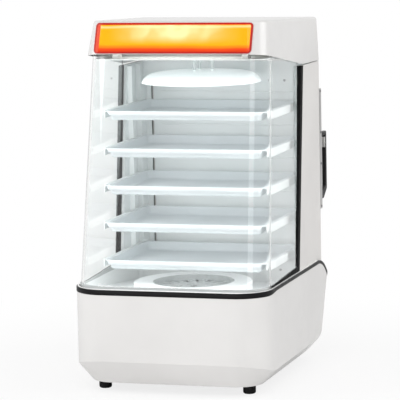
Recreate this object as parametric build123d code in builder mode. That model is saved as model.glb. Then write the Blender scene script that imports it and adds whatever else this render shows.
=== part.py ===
from build123d import *
import math
import os

# Counter-top bun steamer: a wide base with the water pan and heater, a leaning wrap-round glass,
# a rear column with the door, a hood with a lit sign, and five trays on a leaning rack.
# Millimetres, +Z up, front towards -Y. The origin is on the counter, in the middle of the footprint.

# Base housing
base_half_width = 190.0
base_wall = 3.0
front_corner = 65.0
foot_height = 18.0
rim_top = 197.0
rim_band = 10.0
side_band = 6.5
band_turn = 45.0
band_rise = 90.0
rear_at_foot = 463.8
rear_lean = 15.57
rear_corner_low = 60.0
rear_corner_high = 22.0
undercut_height = 62.0
undercut_inset = 24.5
undercut_corner = 49.0
undercut_flare = 17.5
undercut_rear_inset = 24.0
deck_from = 408.0
deck_radius = 95.0
deck_angle = 40.0
deck_run = 60.0
deck_skin = 3.0

# Rim trim and ledge
trim_proud = 0.8
trim_reach = 9.0
ledge_strip_outer = 4.5
ledge_strip_inner = 1.5
ledge_strip_thickness = 0.8

# Chamber pan and steam outlet
pan_gap = 0.3
pan_wall = 1.5
pan_rear = 400.0
pan_corner_rear = 14.0
pan_flange = 6.0
pan_flange_level = 185.0
pan_support = 4.0
pan_floor_front = 189.5
pan_floor_rear = 154.0
steam_centre_depth = 185.0
steam_level = 188.0
steam_cover_radius = 114.0
steam_cover_sheet = 1.6
steam_opening_radius = 78.0
diffuser_sheet = 1.5
diffuser_sink = 10.0
diffuser_slots = 18
diffuser_slot_length = 26.0
diffuser_slot_width = 7.0
boiler_radius = 90.0
boiler_wall = 1.5
boiler_floor = 108.0
heater_ring_radius = 58.0
heater_tube_radius = 4.0
heater_level = 122.0
heater_leg_spread = 20.0
heater_hole_gap = 0.1
drain_pipe_radius = 6.0
drain_pipe_wall = 1.2
drain_level = 76.0
drain_bend = 18.0
bulkhead_from = 408.3
bulkhead_thickness = 3.0

# Bottom plate and feet
plate_thickness = 2.0
plate_gap = 0.4
vent_count = 9
vent_pitch = 16.0
vent_length = 50.0
vent_width = 5.0
foot_radius = 12.0
foot_inset = 49.0
foot_inset_rear = 95.0
foot_front_depth = 64.0
foot_rear_depth = 398.0
foot_round = 4.0

# Glass
glass_thickness = 4.0
glass_ledge = 6.0
glass_foot_front = 14.0
glass_foot_corner = 57.0
glass_head_level = 628.0
glass_head_front = 92.0
glass_head_inset = 12.0
glass_head_inset_rear = 3.5
glass_head_corner = 50.0
glass_rear_reference = 330.0
glass_overlap = 10.0
seal_height_front = 4.0
seal_height_rear = 10.0
seal_width = 3.6
seal_gap = 0.15
glass_lift = 1.5

# Gaskets and rear column
lean_slope = 0.126
gasket_depth = 16.0
gasket_width = 8.5
gasket_rear_at_rim = 277.2
column_ledge = 4.5
column_wall = 13.7
column_rear = 453.0
column_top = 589.2
column_edge_round = 4.0
flange_reach = 9.8
flange_thickness = 5.0
sill_top = 215.0
header_bottom = 548.0
sill_depth = 20.0

# Hood
hood_front_low = 83.0
hood_front_high = 105.0
hood_low_level = 628.0
hood_high_level = 689.0
hood_rear_top_level = 675.0
hood_edge_rear_level = 590.0
hood_edge_turn_depth = 330.0
hood_edge_turn_level = 592.0
hood_overhang = 4.0
hood_draft = 6.0
hood_inset_rear = 0.5
hood_draft_rear = 4.0
hood_overhang_rear = 11.0
hood_corner = 38.0
hood_rear_corner = 12.0
hood_wall = 2.5
hood_edge_round = 6.0
ceiling_level = 616.0
ceiling_thickness = 1.5
ceiling_gap = 0.3
dome_depth = 270.0
dome_radius = 117.0
dome_top_radius = 74.0
dome_bottom_level = 562.0
dome_top_level = 584.0
dome_sheet = 2.0
hanger_radius = 3.0
hanger_circle = 40.0

# Sign
sign_margin_left = 14.0
sign_margin_right = 20.5
sign_bottom = 630.0
sign_top = 685.5
sign_corner = 7.0
sign_frame_width = 2.6
sign_frame_thickness = 3.0
sign_panel_thickness = 2.4
sign_gap = 0.2
lamp_radius = 8.0
lamp_half_length = 120.0
lamp_depth = 135.0
lamp_level = 650.0
lamp_holder_length = 12.0
lamp_holder_half = 11.0

# Trays and racks
tray_count = 5
tray_depth = 258.0
tray_height = 18.0
tray_sheet = 1.2
tray_flange = 7.0
tray_corner = 19.0
tray_draft = 3.5
tray_pitch = 70.5
top_tray_front = 142.0
lowest_tray_rim = 234.0
rack_lean = 5.4
rail_clearance = 0.3
rail_sheet = 1.5
rail_web_height = 13.0
rail_front_inset = 14.0
rail_rear_depth = 398.0
rail_side_gap = 2.0
post_width = 9.3
post_size = 10.0
post_front_depth = 331.0
post_rear_depth = 384.0
post_top = 586.0
post_bottom = 205.0

# Rear door
door_gap = 0.3
door_inset_left = 11.5
door_inset_right = 7.5
door_bottom = 205.0
door_top = 566.0
door_seal_thickness = 3.0
door_seal_width = 8.0
door_seal_inset = 5.0
door_thickness = 14.0
door_corner = 6.0
liner_inset = 16.0
liner_thickness = 2.5
bead_count = 5
bead_radius = 1.6
bead_top_level = 527.0
bead_pitch = 66.0
edge_strip_bottom = 294.0
edge_strip_top = 533.0
edge_strip_inset = 1.5
edge_strip_width = 24.0
edge_strip_sheet = 2.0
edge_strip_return = 14.0
handle_top = 445.0
handle_bottom = 312.0
handle_width = 8.0
handle_reach = 40.0
handle_grip = 8.5
handle_leg = 8.0
handle_heel_height = 17.0
handle_heel_reach = 13.0
screw_head_radius = 2.6
screw_head_height = 1.2
screw_shank_radius = 1.5
screw_shank_length = 9.0
screw_hole_gap = 0.1
strip_screw_inset = 5.0
strip_screw_upper = 446.0
strip_screw_middle = 384.0
header_screw_x = 116.5
header_screw_level = 551.5
pan_screw_x = 112.0
pan_screw_level = 179.0

# Hinges
hinge_inset = 5.0
hinge_setback = 10.0
hinge_knuckle_radius = 5.0
hinge_pin_radius = 2.5
hinge_running_gap = 0.06
hinge_half_height = 26.0
hinge_parting = 0.4
hinge_sheet = 2.0
hinge_leaf_reach = 24.0
hinge_low_level = 270.0
hinge_high_level = 500.0

# Catch
catch_level = 250.0
catch_half_height = 14.0
catch_half_width = 1.9
catch_thickness = 2.7

# Rear controls
control_level = 106.0
switch_x = 110.0
switch_bezel_width = 34.0
switch_bezel_height = 26.0
switch_bezel_thickness = 2.0
switch_window_width = 25.0
switch_window_height = 19.6
rocker_side_gap = 0.4
rocker_half_height = 8.5
rocker_rise = 4.2
rocker_dip = 2.4
rocker_depth = 6.0
rocker_tilt = 8.0
rocker_pivot_depth = 3.0
dial_x = 50.0
dial_radius = 15.0
dial_height = 10.0
dial_cap_radius = 12.0
dial_lift = 0.4
dial_shaft_radius = 3.0
dial_shaft_gap = 0.08
dial_shaft_depth = 12.0
dial_grips = 12
dial_grip_radius = 1.4
pilot_x = 80.0
pilot_radius = 5.0
pilot_rim_radius = 7.0
pilot_rim_height = 1.6
gland_x = -120.0
gland_radius = 9.0
gland_bore = 4.0
gland_length = 13.0
gland_collar_radius = 12.0
gland_collar_height = 4.0
valve_x = 0.0
valve_body_radius = 9.0
valve_body_length = 18.0
valve_bore = 4.5
valve_spout_length = 16.0
valve_spout_radius = 6.5
lever_length = 34.0
lever_width = 9.0
lever_thickness = 3.0
lever_lift = 0.4
lever_hub_radius = 7.0
lever_stem_radius = 2.5
lever_stem_gap = 0.08

# Placing values that follow from the sizes above
door_inner = column_rear + door_gap + door_seal_thickness
door_outer = door_inner + door_thickness
handle_back = door_outer + edge_strip_sheet + handle_reach
front = trim_proud - (trim_proud + handle_back) / 2
rear_slope = math.tan(math.radians(rear_lean))
foot_half_spacing = base_half_width - foot_inset
foot_half_spacing_rear = base_half_width - foot_inset_rear
glass_foot_half = base_half_width - glass_ledge
glass_head_half = glass_foot_half - glass_head_inset
glass_head_half_rear = glass_foot_half - glass_head_inset_rear
column_half_width = base_half_width - column_ledge
jamb_inner = column_half_width - column_wall
hood_half_low = glass_head_half + hood_overhang
hood_rear = column_rear + hood_overhang_rear
hood_half_high = hood_half_low - hood_draft
hood_half_rear_low = column_half_width - hood_inset_rear
hood_half_rear_high = hood_half_rear_low - hood_draft_rear
sign_left = sign_margin_left - hood_half_high
sign_right = hood_half_high - sign_margin_right
tray_half_width = jamb_inner - post_width - rail_sheet - rail_side_gap
top_tray_rim = lowest_tray_rim + tray_pitch * (tray_count - 1)
door_left = door_inset_left - column_half_width
door_right = column_half_width - door_inset_right
edge_strip_right = column_half_width - edge_strip_inset
edge_strip_left = edge_strip_right - edge_strip_width
strip_screw_top = edge_strip_top - strip_screw_inset
strip_screw_bottom = edge_strip_bottom + strip_screw_inset
strip_screw_levels = (strip_screw_top, strip_screw_upper, strip_screw_middle, strip_screw_bottom)
hinge_axis_x = hinge_inset - column_half_width
hinge_axis_depth = column_rear + hinge_setback
hinge_levels = (hinge_low_level, hinge_high_level)
reach = 600.0
tall = 1200.0
deck_start = front + deck_from


def outline(level, front_at, rear_at, half_front, half_rear, round_front, round_rear):
    """Plan outline at one height, as wide at each end as asked, with rounded corners."""
    with BuildSketch(Plane.XY.offset(level)) as plan:
        with BuildLine():
            Polyline(
                (-half_front, front_at),
                (half_front, front_at),
                (half_rear, rear_at),
                (-half_rear, rear_at),
                close=True,
            )
        make_face()
        fillet(plan.vertices().group_by(Axis.Y)[0], round_front)
        fillet(plan.vertices().group_by(Axis.Y)[-1], round_rear)
    return plan.sketch


def lofted(low, high):
    """Body between two plan outlines."""
    with BuildPart() as body:
        loft([low, high])
    return body.part


def side_slab(*points):
    """Full-width block with this outline of depth and height."""
    with BuildPart() as slab:
        with BuildSketch(Plane.YZ):
            with BuildLine():
                Polyline(*points, close=True)
            make_face()
        extrude(amount=reach, both=True)
    return slab.part


def block(x_low, x_high, y_low, y_high, z_low, z_high):
    """Plain block between two corners."""
    with BuildPart() as solid:
        with BuildSketch(Plane.XY.offset(z_low)):
            with Locations(((x_low + x_high) / 2, (y_low + y_high) / 2)):
                Rectangle(x_high - x_low, y_high - y_low)
        extrude(amount=z_high - z_low)
    return solid.part


def rear_wall_at(level):
    """Depth of the leaning rear wall at a height."""
    return front + rear_at_foot + (level - foot_height) * rear_slope


def rear_corner_at(level):
    """Plan radius of the rear corners at a height."""
    share = (level - foot_height) / (rim_top - foot_height)
    return rear_corner_low + (rear_corner_high - rear_corner_low) * share


def base_form(grow):
    """Outer form of the base before the undercut and the deck, larger all round by grow."""
    ends = []
    for level in (0.0, rim_top + foot_height):
        ends.append(
            outline(
                level,
                front - grow,
                rear_wall_at(level) + grow,
                base_half_width + grow,
                base_half_width + grow,
                front_corner + grow,
                rear_corner_at(level) + grow,
            )
        )
    return lofted(ends[0], ends[1])


def undercut_form(grow):
    """Room that the sloping undercut leaves for the base."""
    rear_high = rear_wall_at(undercut_height)
    inset = undercut_inset - grow
    flare = undercut_flare + grow
    low_half = base_half_width - inset
    high_half = base_half_width + flare
    low = outline(
        foot_height,
        front + inset,
        rear_wall_at(foot_height) - undercut_rear_inset + grow,
        low_half,
        low_half,
        undercut_corner + grow,
        undercut_corner + grow,
    )
    high = outline(
        undercut_height,
        front - grow,
        rear_high + grow,
        high_half,
        high_half,
        front_corner + flare,
        front_corner + flare,
    )
    with BuildPart() as room:
        loft([low, high])
        with BuildSketch(Plane.XY.offset(undercut_height)):
            Rectangle(2 * reach, 2 * reach)
        extrude(amount=tall)
    return room.part


def below_rim(level, front_level):
    """All that lies under a line which runs level and then rolls down over the rear deck."""
    with BuildPart() as slab:
        with BuildSketch(Plane.YZ):
            with BuildLine():
                rise = Polyline(
                    (-reach, 0),
                    (-reach, front_level),
                    (front + band_turn, front_level),
                    (front + band_rise, level),
                    (deck_start, level),
                )
                roll = JernArc(rise @ 1, (1, 0), deck_radius - (rim_top - level), -deck_angle)
                slope = Line(roll @ 1, roll @ 1 + deck_run * (roll % 1))
                Polyline(slope @ 1, ((slope @ 1).X, 0), (-reach, 0))
            make_face()
        extrude(amount=reach, both=True)
    return slab.part


rim_low = rim_top - side_band
under_trim = below_rim(rim_low, rim_top - rim_band)
under_rim_top = below_rim(rim_top, rim_top)

# Base housing: a thin shell, open above the chamber, with a deck and a bulkhead behind it
pan_half_width = base_half_width - trim_reach - pan_gap
pan_front = front + trim_reach + pan_gap
pan_back = front + pan_rear
bulkhead_front = front + bulkhead_from
bulkhead_back = bulkhead_front + bulkhead_thickness
pan_plan = outline(
    0,
    pan_front,
    pan_back,
    pan_half_width,
    pan_half_width,
    front_corner - trim_reach - pan_gap,
    pan_corner_rear,
)
base_outside = base_form(0)
base_inside = base_form(-base_wall)
undercut_inside = undercut_form(-base_wall)
under_deck = below_rim(rim_low - deck_skin, rim_low - deck_skin)
rear_wall = Plane(
    origin=(0, rear_wall_at(control_level), control_level),
    x_dir=(-1, 0, 0),
    z_dir=(0, math.cos(math.radians(rear_lean)), -math.sin(math.radians(rear_lean))),
)
drain_y = rear_wall_at(drain_level)

with BuildPart() as base_cavity:
    add(base_inside)
    add(undercut_inside, mode=Mode.INTERSECT)
    add(under_deck, mode=Mode.INTERSECT)

with BuildPart() as chamber_well:
    add(base_inside)
    add(undercut_inside, mode=Mode.INTERSECT)
    add(side_slab(
        (-reach, foot_height),
        (bulkhead_front, foot_height),
        (bulkhead_front, tall),
        (-reach, tall),
    ), mode=Mode.INTERSECT)

with BuildPart() as pan_ledge:
    add(base_inside)
    add(side_slab(
        (-reach, pan_flange_level - pan_support),
        (bulkhead_back, pan_flange_level - pan_support),
        (bulkhead_back, pan_flange_level),
        (-reach, pan_flange_level),
    ), mode=Mode.INTERSECT)
    with BuildSketch():
        add(pan_plan)
        offset(amount=pan_gap, kind=Kind.INTERSECTION)
    extrude(amount=tall, mode=Mode.SUBTRACT)

with BuildPart() as bulkhead:
    add(base_inside)
    add(side_slab(
        (bulkhead_front, undercut_height),
        (bulkhead_back, undercut_height),
        (bulkhead_back, rim_low),
        (bulkhead_front, rim_low),
    ), mode=Mode.INTERSECT)
    add(under_trim, mode=Mode.INTERSECT)

with BuildPart() as base_housing:
    add(base_outside)
    add(undercut_form(0), mode=Mode.INTERSECT)
    add(under_trim, mode=Mode.INTERSECT)
    add(base_cavity.part, mode=Mode.SUBTRACT)
    add(chamber_well.part, mode=Mode.SUBTRACT)
    add(pan_ledge.part)
    add(bulkhead.part)
    with BuildSketch(rear_wall):
        with Locations((-switch_x, 0)):
            Rectangle(switch_window_width, switch_window_height)
    extrude(amount=2 * base_wall, both=True, mode=Mode.SUBTRACT)
    with BuildSketch(rear_wall):
        with Locations((-dial_x, 0)):
            Circle(dial_shaft_radius + dial_shaft_gap)
        with Locations((-gland_x, 0)):
            Circle(gland_bore)
    extrude(amount=2 * base_wall, both=True, mode=Mode.SUBTRACT)
    with BuildSketch(Plane.XZ.offset(-drain_y - base_wall)):
        with Locations((valve_x, drain_level)):
            Circle(drain_pipe_radius + pan_gap)
    extrude(amount=drain_y - bulkhead_front + 3 * base_wall, mode=Mode.SUBTRACT)
base_housing.part.label = "base_housing"
pieces = [base_housing.part]

# Bottom plate inside the lower edge, slotted for air, and the feet under it
plate_inset = undercut_inset + base_wall + plate_gap
plate_half = base_half_width - plate_inset
with BuildPart() as base_bottom_plate:
    plate_plan = outline(
        foot_height,
        front + plate_inset,
        rear_wall_at(foot_height) - undercut_rear_inset - base_wall - plate_gap,
        plate_half,
        plate_half,
        undercut_corner - base_wall - plate_gap,
        undercut_corner - base_wall - plate_gap,
    )
    extrude(plate_plan, amount=plate_thickness)
    with BuildSketch(Plane.XY.offset(foot_height)):
        with Locations((0, front + foot_rear_depth - 2 * foot_radius)):
            with GridLocations(vent_pitch, 0, vent_count, 1):
                SlotOverall(vent_length, vent_width, rotation=90)
    extrude(amount=plate_thickness, mode=Mode.SUBTRACT)
base_bottom_plate.part.label = "base_bottom_plate"
pieces.append(base_bottom_plate.part)

foot_places = [
    (side * half_spacing, front + depth)
    for half_spacing, depth in (
        (foot_half_spacing, foot_front_depth),
        (foot_half_spacing_rear, foot_rear_depth),
    )
    for side in (-1, 1)
]
with BuildPart() as feet:
    with BuildSketch():
        with Locations(*foot_places):
            Circle(foot_radius)
    extrude(amount=foot_height)
    fillet(feet.edges().group_by(Axis.Z)[0], foot_round)
feet.part.label = "feet"
pieces.append(feet.part)

# Black trim round the rim, down both sides of the deck and across its low edge
with BuildPart() as rim_trim:
    add(base_form(trim_proud))
    add(base_form(-trim_reach), mode=Mode.SUBTRACT)
    add(under_rim_top, mode=Mode.INTERSECT)
    add(under_trim, mode=Mode.SUBTRACT)
rim_trim.part.label = "rim_trim"
pieces.append(rim_trim.part)

# Bright strip on the level part of the ledge, outside the glass
with BuildPart() as ledge_strip:
    add(base_form(-ledge_strip_inner))
    add(base_form(-ledge_strip_outer), mode=Mode.SUBTRACT)
    add(side_slab(
        (-reach, rim_top),
        (deck_start, rim_top),
        (deck_start, rim_top + ledge_strip_thickness),
        (-reach, rim_top + ledge_strip_thickness),
    ), mode=Mode.INTERSECT)
ledge_strip.part.label = "ledge_strip"
pieces.append(ledge_strip.part)

# Chamber pan: a sheet tray with a floor that falls to the rear and a flange on the housing's ledge
floor_fall = (pan_floor_front - pan_floor_rear) / pan_rear


def pan_floor_at(y):
    """Height of the pan's sloping floor."""
    return pan_floor_front - (y - front) * floor_fall


above_pan_floor = side_slab(
    (-reach, pan_floor_at(-reach)),
    (reach, pan_floor_at(reach)),
    (reach, tall),
    (-reach, tall),
)
under_pan_sheet = side_slab(
    (-reach, -tall),
    (reach, -tall),
    (reach, pan_floor_at(reach) - pan_wall),
    (-reach, pan_floor_at(-reach) - pan_wall),
)

with BuildPart() as pan_room:
    with BuildSketch():
        add(pan_plan)
        offset(amount=-pan_wall, kind=Kind.INTERSECTION)
    extrude(amount=tall)
    add(above_pan_floor, mode=Mode.INTERSECT)

with BuildPart() as chamber_pan:
    extrude(pan_plan, amount=rim_top - pan_gap)
    add(under_pan_sheet, mode=Mode.SUBTRACT)
    add(pan_room.part, mode=Mode.SUBTRACT)
    with BuildSketch(Plane.XY.offset(pan_flange_level)):
        add(pan_plan)
        offset(amount=pan_flange, kind=Kind.INTERSECTION)
        add(pan_plan, mode=Mode.SUBTRACT)
    extrude(amount=pan_wall)
    with BuildSketch():
        with Locations((0, front + steam_centre_depth)):
            Circle(steam_opening_radius)
    extrude(amount=tall, mode=Mode.SUBTRACT)
chamber_pan.part.label = "chamber_pan"
pieces.append(chamber_pan.part)

# Round steam cover over the opening, with a slotted diffuser sunk in its middle
with BuildPart() as steam_cover:
    with BuildSketch(Plane.XZ.offset(-front - steam_centre_depth)):
        with BuildLine():
            Polyline(
                (steam_opening_radius, steam_level),
                (steam_cover_radius - steam_cover_sheet, steam_level),
                (steam_cover_radius, steam_level - steam_cover_sheet),
                (steam_cover_radius, pan_floor_rear),
                (steam_cover_radius - steam_cover_sheet, pan_floor_rear),
                (steam_cover_radius - steam_cover_sheet, steam_level - steam_cover_sheet),
                (steam_opening_radius, steam_level - steam_cover_sheet),
                close=True,
            )
        make_face()
    revolve(axis=Axis((0, front + steam_centre_depth, 0), (0, 0, 1)))
    add(above_pan_floor.moved(Location((0, 0, pan_gap))), mode=Mode.INTERSECT)
steam_cover.part.label = "steam_cover"
pieces.append(steam_cover.part)

diffuser_radius = steam_opening_radius - pan_gap
diffuser_top = steam_level - diffuser_sink
slot_circle = diffuser_radius - diffuser_slot_length / 2 - 3 * diffuser_sheet
with BuildPart() as steam_diffuser:
    with BuildSketch(Plane.XY.offset(diffuser_top - diffuser_sheet)):
        with Locations((0, front + steam_centre_depth)):
            Circle(diffuser_radius)
            with PolarLocations(slot_circle, diffuser_slots):
                SlotOverall(diffuser_slot_length, diffuser_slot_width, mode=Mode.SUBTRACT)
            Circle(diffuser_slot_width, mode=Mode.SUBTRACT)
    extrude(amount=diffuser_sheet)
    with BuildSketch(Plane.XY.offset(diffuser_top - diffuser_sheet)):
        with Locations((0, front + steam_centre_depth)):
            Circle(diffuser_radius)
            Circle(diffuser_radius - diffuser_sheet, mode=Mode.SUBTRACT)
    extrude(amount=steam_level - diffuser_top + diffuser_sheet)
steam_diffuser.part.label = "steam_diffuser"
pieces.append(steam_diffuser.part)

# Boiler vessel under the pan, its ring heater and the drain pipe
steam_axis_y = front + steam_centre_depth
with BuildPart() as boiler_vessel:
    with BuildSketch(Plane.XY.offset(boiler_floor)):
        with Locations((0, steam_axis_y)):
            Circle(boiler_radius)
    extrude(amount=rim_top - boiler_floor)
    with BuildSketch(Plane.XY.offset(boiler_floor + boiler_wall)):
        with Locations((0, steam_axis_y)):
            Circle(boiler_radius - boiler_wall)
    extrude(amount=rim_top - boiler_floor, mode=Mode.SUBTRACT)
    add(under_pan_sheet, mode=Mode.INTERSECT)
    with BuildSketch(Plane.XY.offset(boiler_floor)):
        with Locations((0, steam_axis_y)):
            Circle(drain_pipe_radius - drain_pipe_wall)
        with Locations((0, steam_axis_y - heater_ring_radius)):
            with GridLocations(heater_leg_spread, 0, 2, 1):
                Circle(heater_tube_radius + heater_hole_gap)
    extrude(amount=boiler_wall, mode=Mode.SUBTRACT)
boiler_vessel.part.label = "boiler_vessel"
pieces.append(boiler_vessel.part)

with BuildPart() as heater_element:
    with BuildSketch(Plane.XZ.offset(-steam_axis_y)):
        with Locations((heater_ring_radius, heater_level)):
            Circle(heater_tube_radius)
    revolve(axis=Axis((0, steam_axis_y, 0), (0, 0, 1)))
    with BuildSketch(Plane.XY.offset(heater_level)):
        with Locations((0, steam_axis_y - heater_ring_radius)):
            with GridLocations(heater_leg_spread, 0, 2, 1):
                Circle(heater_tube_radius)
    extrude(amount=boiler_floor - heater_level - heater_leg_spread)
heater_element.part.label = "heater_element"
pieces.append(heater_element.part)

with BuildPart() as drain_pipe:
    with BuildLine() as drain_route:
        FilletPolyline(
            (0, steam_axis_y, boiler_floor),
            (0, steam_axis_y, drain_level),
            (0, drain_y + base_wall, drain_level),
            radius=drain_bend,
        )
    with BuildSketch(Plane(origin=(0, steam_axis_y, boiler_floor), z_dir=(0, 0, -1))):
        Circle(drain_pipe_radius)
        Circle(drain_pipe_radius - drain_pipe_wall, mode=Mode.SUBTRACT)
    sweep()
drain_pipe.part.label = "drain_pipe"
pieces.append(drain_pipe.part)

# Drain cock on the rear wall: body with a downward spout, and the quarter-turn lever on top
valve_start = drain_y + base_wall
valve_middle = valve_start + valve_body_length - valve_spout_radius
with BuildPart() as drain_cock:
    with BuildSketch(Plane.XZ.offset(-valve_start)):
        with Locations((valve_x, drain_level)):
            Circle(valve_body_radius)
    extrude(amount=-valve_body_length)
    with BuildSketch(Plane.XY.offset(drain_level - valve_body_radius - valve_spout_length / 2)):
        with Locations((valve_x, valve_middle)):
            Circle(valve_spout_radius)
    extrude(amount=valve_spout_length)
    with BuildSketch(Plane.XY.offset(drain_level - valve_body_radius - valve_spout_length / 2)):
        with Locations((valve_x, valve_middle)):
            Circle(valve_bore)
    extrude(amount=valve_spout_length, mode=Mode.SUBTRACT)
    with BuildSketch(Plane.XY.offset(drain_level)):
        with Locations((valve_x, valve_middle)):
            Circle(lever_stem_radius + lever_stem_gap)
    extrude(amount=2 * valve_body_radius, mode=Mode.SUBTRACT)
drain_cock.part.label = "drain_cock"
pieces.append(drain_cock.part)

lever_level = drain_level + valve_body_radius + lever_lift
with BuildPart() as drain_lever:
    with BuildSketch(Plane.XY.offset(lever_level)):
        with Locations((valve_x, valve_middle)):
            Circle(lever_hub_radius)
        with Locations((valve_x + lever_length / 2, valve_middle)):
            SlotOverall(lever_length + lever_width, lever_width)
    extrude(amount=lever_thickness)
    with BuildSketch(Plane.XY.offset(lever_level)):
        with Locations((valve_x, valve_middle)):
            Circle(lever_stem_radius)
    extrude(amount=-valve_body_radius)
drain_lever.part.label = "drain_lever"
pieces.append(drain_lever.part)


# Wrap-round glass, leaning back as it rises
def glass_form(grow):
    """Outer form of the glass, larger all round by grow, long enough to be cut top and bottom."""
    lean = (glass_head_front - glass_foot_front) / (glass_head_level - rim_top)
    taper = (glass_head_half - glass_foot_half) / (glass_head_level - rim_top)
    taper_rear = (glass_head_half_rear - glass_foot_half) / (glass_head_level - rim_top)
    turn = (glass_head_corner - glass_foot_corner) / (glass_head_level - rim_top)
    ends = []
    for level in (rim_top - glass_foot_corner, glass_head_level + glass_head_corner):
        rise = level - rim_top
        rear_at = front + glass_rear_reference + glass_head_front
        half_front = glass_foot_half + taper * rise + grow
        half_rear = glass_foot_half + taper_rear * rise + grow
        ends.append(
            outline(
                level,
                front + glass_foot_front + lean * rise - grow,
                rear_at,
                half_front,
                half_rear,
                glass_foot_corner + turn * rise + grow,
                hood_rear_corner,
            )
        )
    return lofted(ends[0], ends[1])


def lean_line(level):
    """Depth of the leaning line where the column begins, at a height."""
    return front + gasket_rear_at_rim + (level - rim_top) * lean_slope


def hood_edge_at(y):
    """Height of the hood's lower edge along the side."""
    turn = front + hood_edge_turn_depth
    start = front + hood_front_low
    return hood_low_level + (hood_edge_turn_level - hood_low_level) * (y - start) / (turn - start)


glass_outside = glass_form(0)
glass_inside = glass_form(-glass_thickness)
glass_back_low = lean_line(rim_top - tall) - gasket_depth - seal_gap
glass_back_high = lean_line(rim_top + tall) - gasket_depth - seal_gap
ahead_of_gasket = side_slab(
    (-reach, rim_top - tall),
    (glass_back_low, rim_top - tall),
    (glass_back_high, rim_top + tall),
    (-reach, rim_top + tall),
)
under_glass_head = side_slab(
    (-reach, rim_top + glass_lift),
    (reach, rim_top + glass_lift),
    (reach, hood_edge_at(reach) + glass_overlap),
    (-reach, hood_edge_at(-reach) + glass_overlap),
)
with BuildPart() as glass_shroud:
    add(glass_outside)
    add(glass_inside, mode=Mode.SUBTRACT)
    add(ahead_of_gasket, mode=Mode.INTERSECT)
    add(under_glass_head, mode=Mode.INTERSECT)
glass_shroud.part.label = "glass_shroud"
pieces.append(glass_shroud.part)

# Seal strip that the glass stands in, higher towards the rear
seal_front = front + glass_foot_front - seal_width
seal_back = lean_line(rim_top) - gasket_depth
under_seal_top = side_slab(
    (seal_front, rim_top),
    (seal_back, rim_top),
    (seal_back, rim_top + seal_height_rear),
    (front + band_rise, rim_top + seal_height_front),
    (seal_front, rim_top + seal_height_front),
)
with BuildPart() as glass_slot:
    add(glass_form(seal_gap))
    add(glass_form(-glass_thickness - seal_gap), mode=Mode.SUBTRACT)
    add(side_slab(
        (-reach, rim_top + glass_lift - seal_gap),
        (reach, rim_top + glass_lift - seal_gap),
        (reach, tall),
        (-reach, tall),
    ), mode=Mode.INTERSECT)

with BuildPart() as glass_seal:
    add(glass_form(seal_width / 2))
    add(glass_form(-glass_thickness - seal_width / 2), mode=Mode.SUBTRACT)
    add(under_seal_top, mode=Mode.INTERSECT)
    add(ledge_strip.part, mode=Mode.SUBTRACT)
    add(glass_slot.part, mode=Mode.SUBTRACT)
glass_seal.part.label = "glass_seal"
pieces.append(glass_seal.part)

# Gaskets between glass and column, and the column's side jambs behind them
def leaning_band(depth_ahead, depth_behind):
    """Slab between two lines that lean as the glass edge does."""
    return side_slab(
        (lean_line(rim_low) - depth_ahead, rim_low),
        (lean_line(rim_low) + depth_behind, rim_low),
        (lean_line(column_top) + depth_behind, column_top),
        (lean_line(column_top) - depth_ahead, column_top),
    )


gasket_band = leaning_band(gasket_depth, 0)
behind_lean = side_slab(
    (lean_line(rim_low), rim_low),
    (front + column_rear, rim_low),
    (front + column_rear, column_top),
    (lean_line(column_top), column_top),
)
for side, side_name in ((-1, "left"), (1, "right")):
    outer = side * column_half_width
    with BuildPart() as gasket:
        with BuildSketch(Plane.XY.offset(rim_top)):
            with Locations((side * (column_half_width - gasket_width / 2), 0)):
                Rectangle(gasket_width, 2 * reach)
        extrude(amount=column_top - rim_top)
        add(gasket_band, mode=Mode.INTERSECT)
        add(ledge_strip.part, mode=Mode.SUBTRACT)
    gasket.part.label = "gasket_" + side_name
    pieces.append(gasket.part)

    with BuildPart() as jamb:
        with BuildSketch(Plane.XY.offset(rim_low)):
            with Locations((side * (column_half_width - column_wall / 2), 0)):
                Rectangle(column_wall, 2 * reach)
            flange_middle = front + column_rear - flange_thickness / 2
            with Locations((side * (jamb_inner - flange_reach / 2), flange_middle)):
                Rectangle(flange_reach, flange_thickness)
        extrude(amount=column_top - rim_low)
        add(behind_lean, mode=Mode.INTERSECT)
        outer_edges = jamb.edges().filter_by(Axis.Z).group_by(Axis.Y)[-1]
        fillet(outer_edges.sort_by(lambda edge: -side * edge.center().X)[0], column_edge_round)
        add(under_rim_top, mode=Mode.SUBTRACT)
        add(ledge_strip.part, mode=Mode.SUBTRACT)
    jamb.part.label = "jamb_" + side_name
    pieces.append(jamb.part)

# Sill and header that join the jambs above and below the rear door opening
with BuildPart() as rear_sill:
    add(block(
        -jamb_inner, jamb_inner,
        front + column_rear - sill_depth, front + column_rear - flange_thickness,
        rim_low - sill_depth, sill_top,
    ))
    add(block(
        flange_reach - jamb_inner, jamb_inner - flange_reach,
        front + column_rear - sill_depth, front + column_rear,
        rim_low - sill_depth, sill_top,
    ))
    add(under_trim, mode=Mode.SUBTRACT)
rear_sill.part.label = "rear_sill"
pieces.append(rear_sill.part)

with BuildPart() as rear_header:
    add(block(
        -jamb_inner, jamb_inner,
        front + column_rear - sill_depth, front + column_rear - flange_thickness,
        header_bottom, column_top,
    ))
    add(block(
        flange_reach - jamb_inner, jamb_inner - flange_reach,
        front + column_rear - sill_depth, front + column_rear,
        header_bottom, column_top,
    ))
rear_header.part.label = "rear_header"
pieces.append(rear_header.part)


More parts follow.
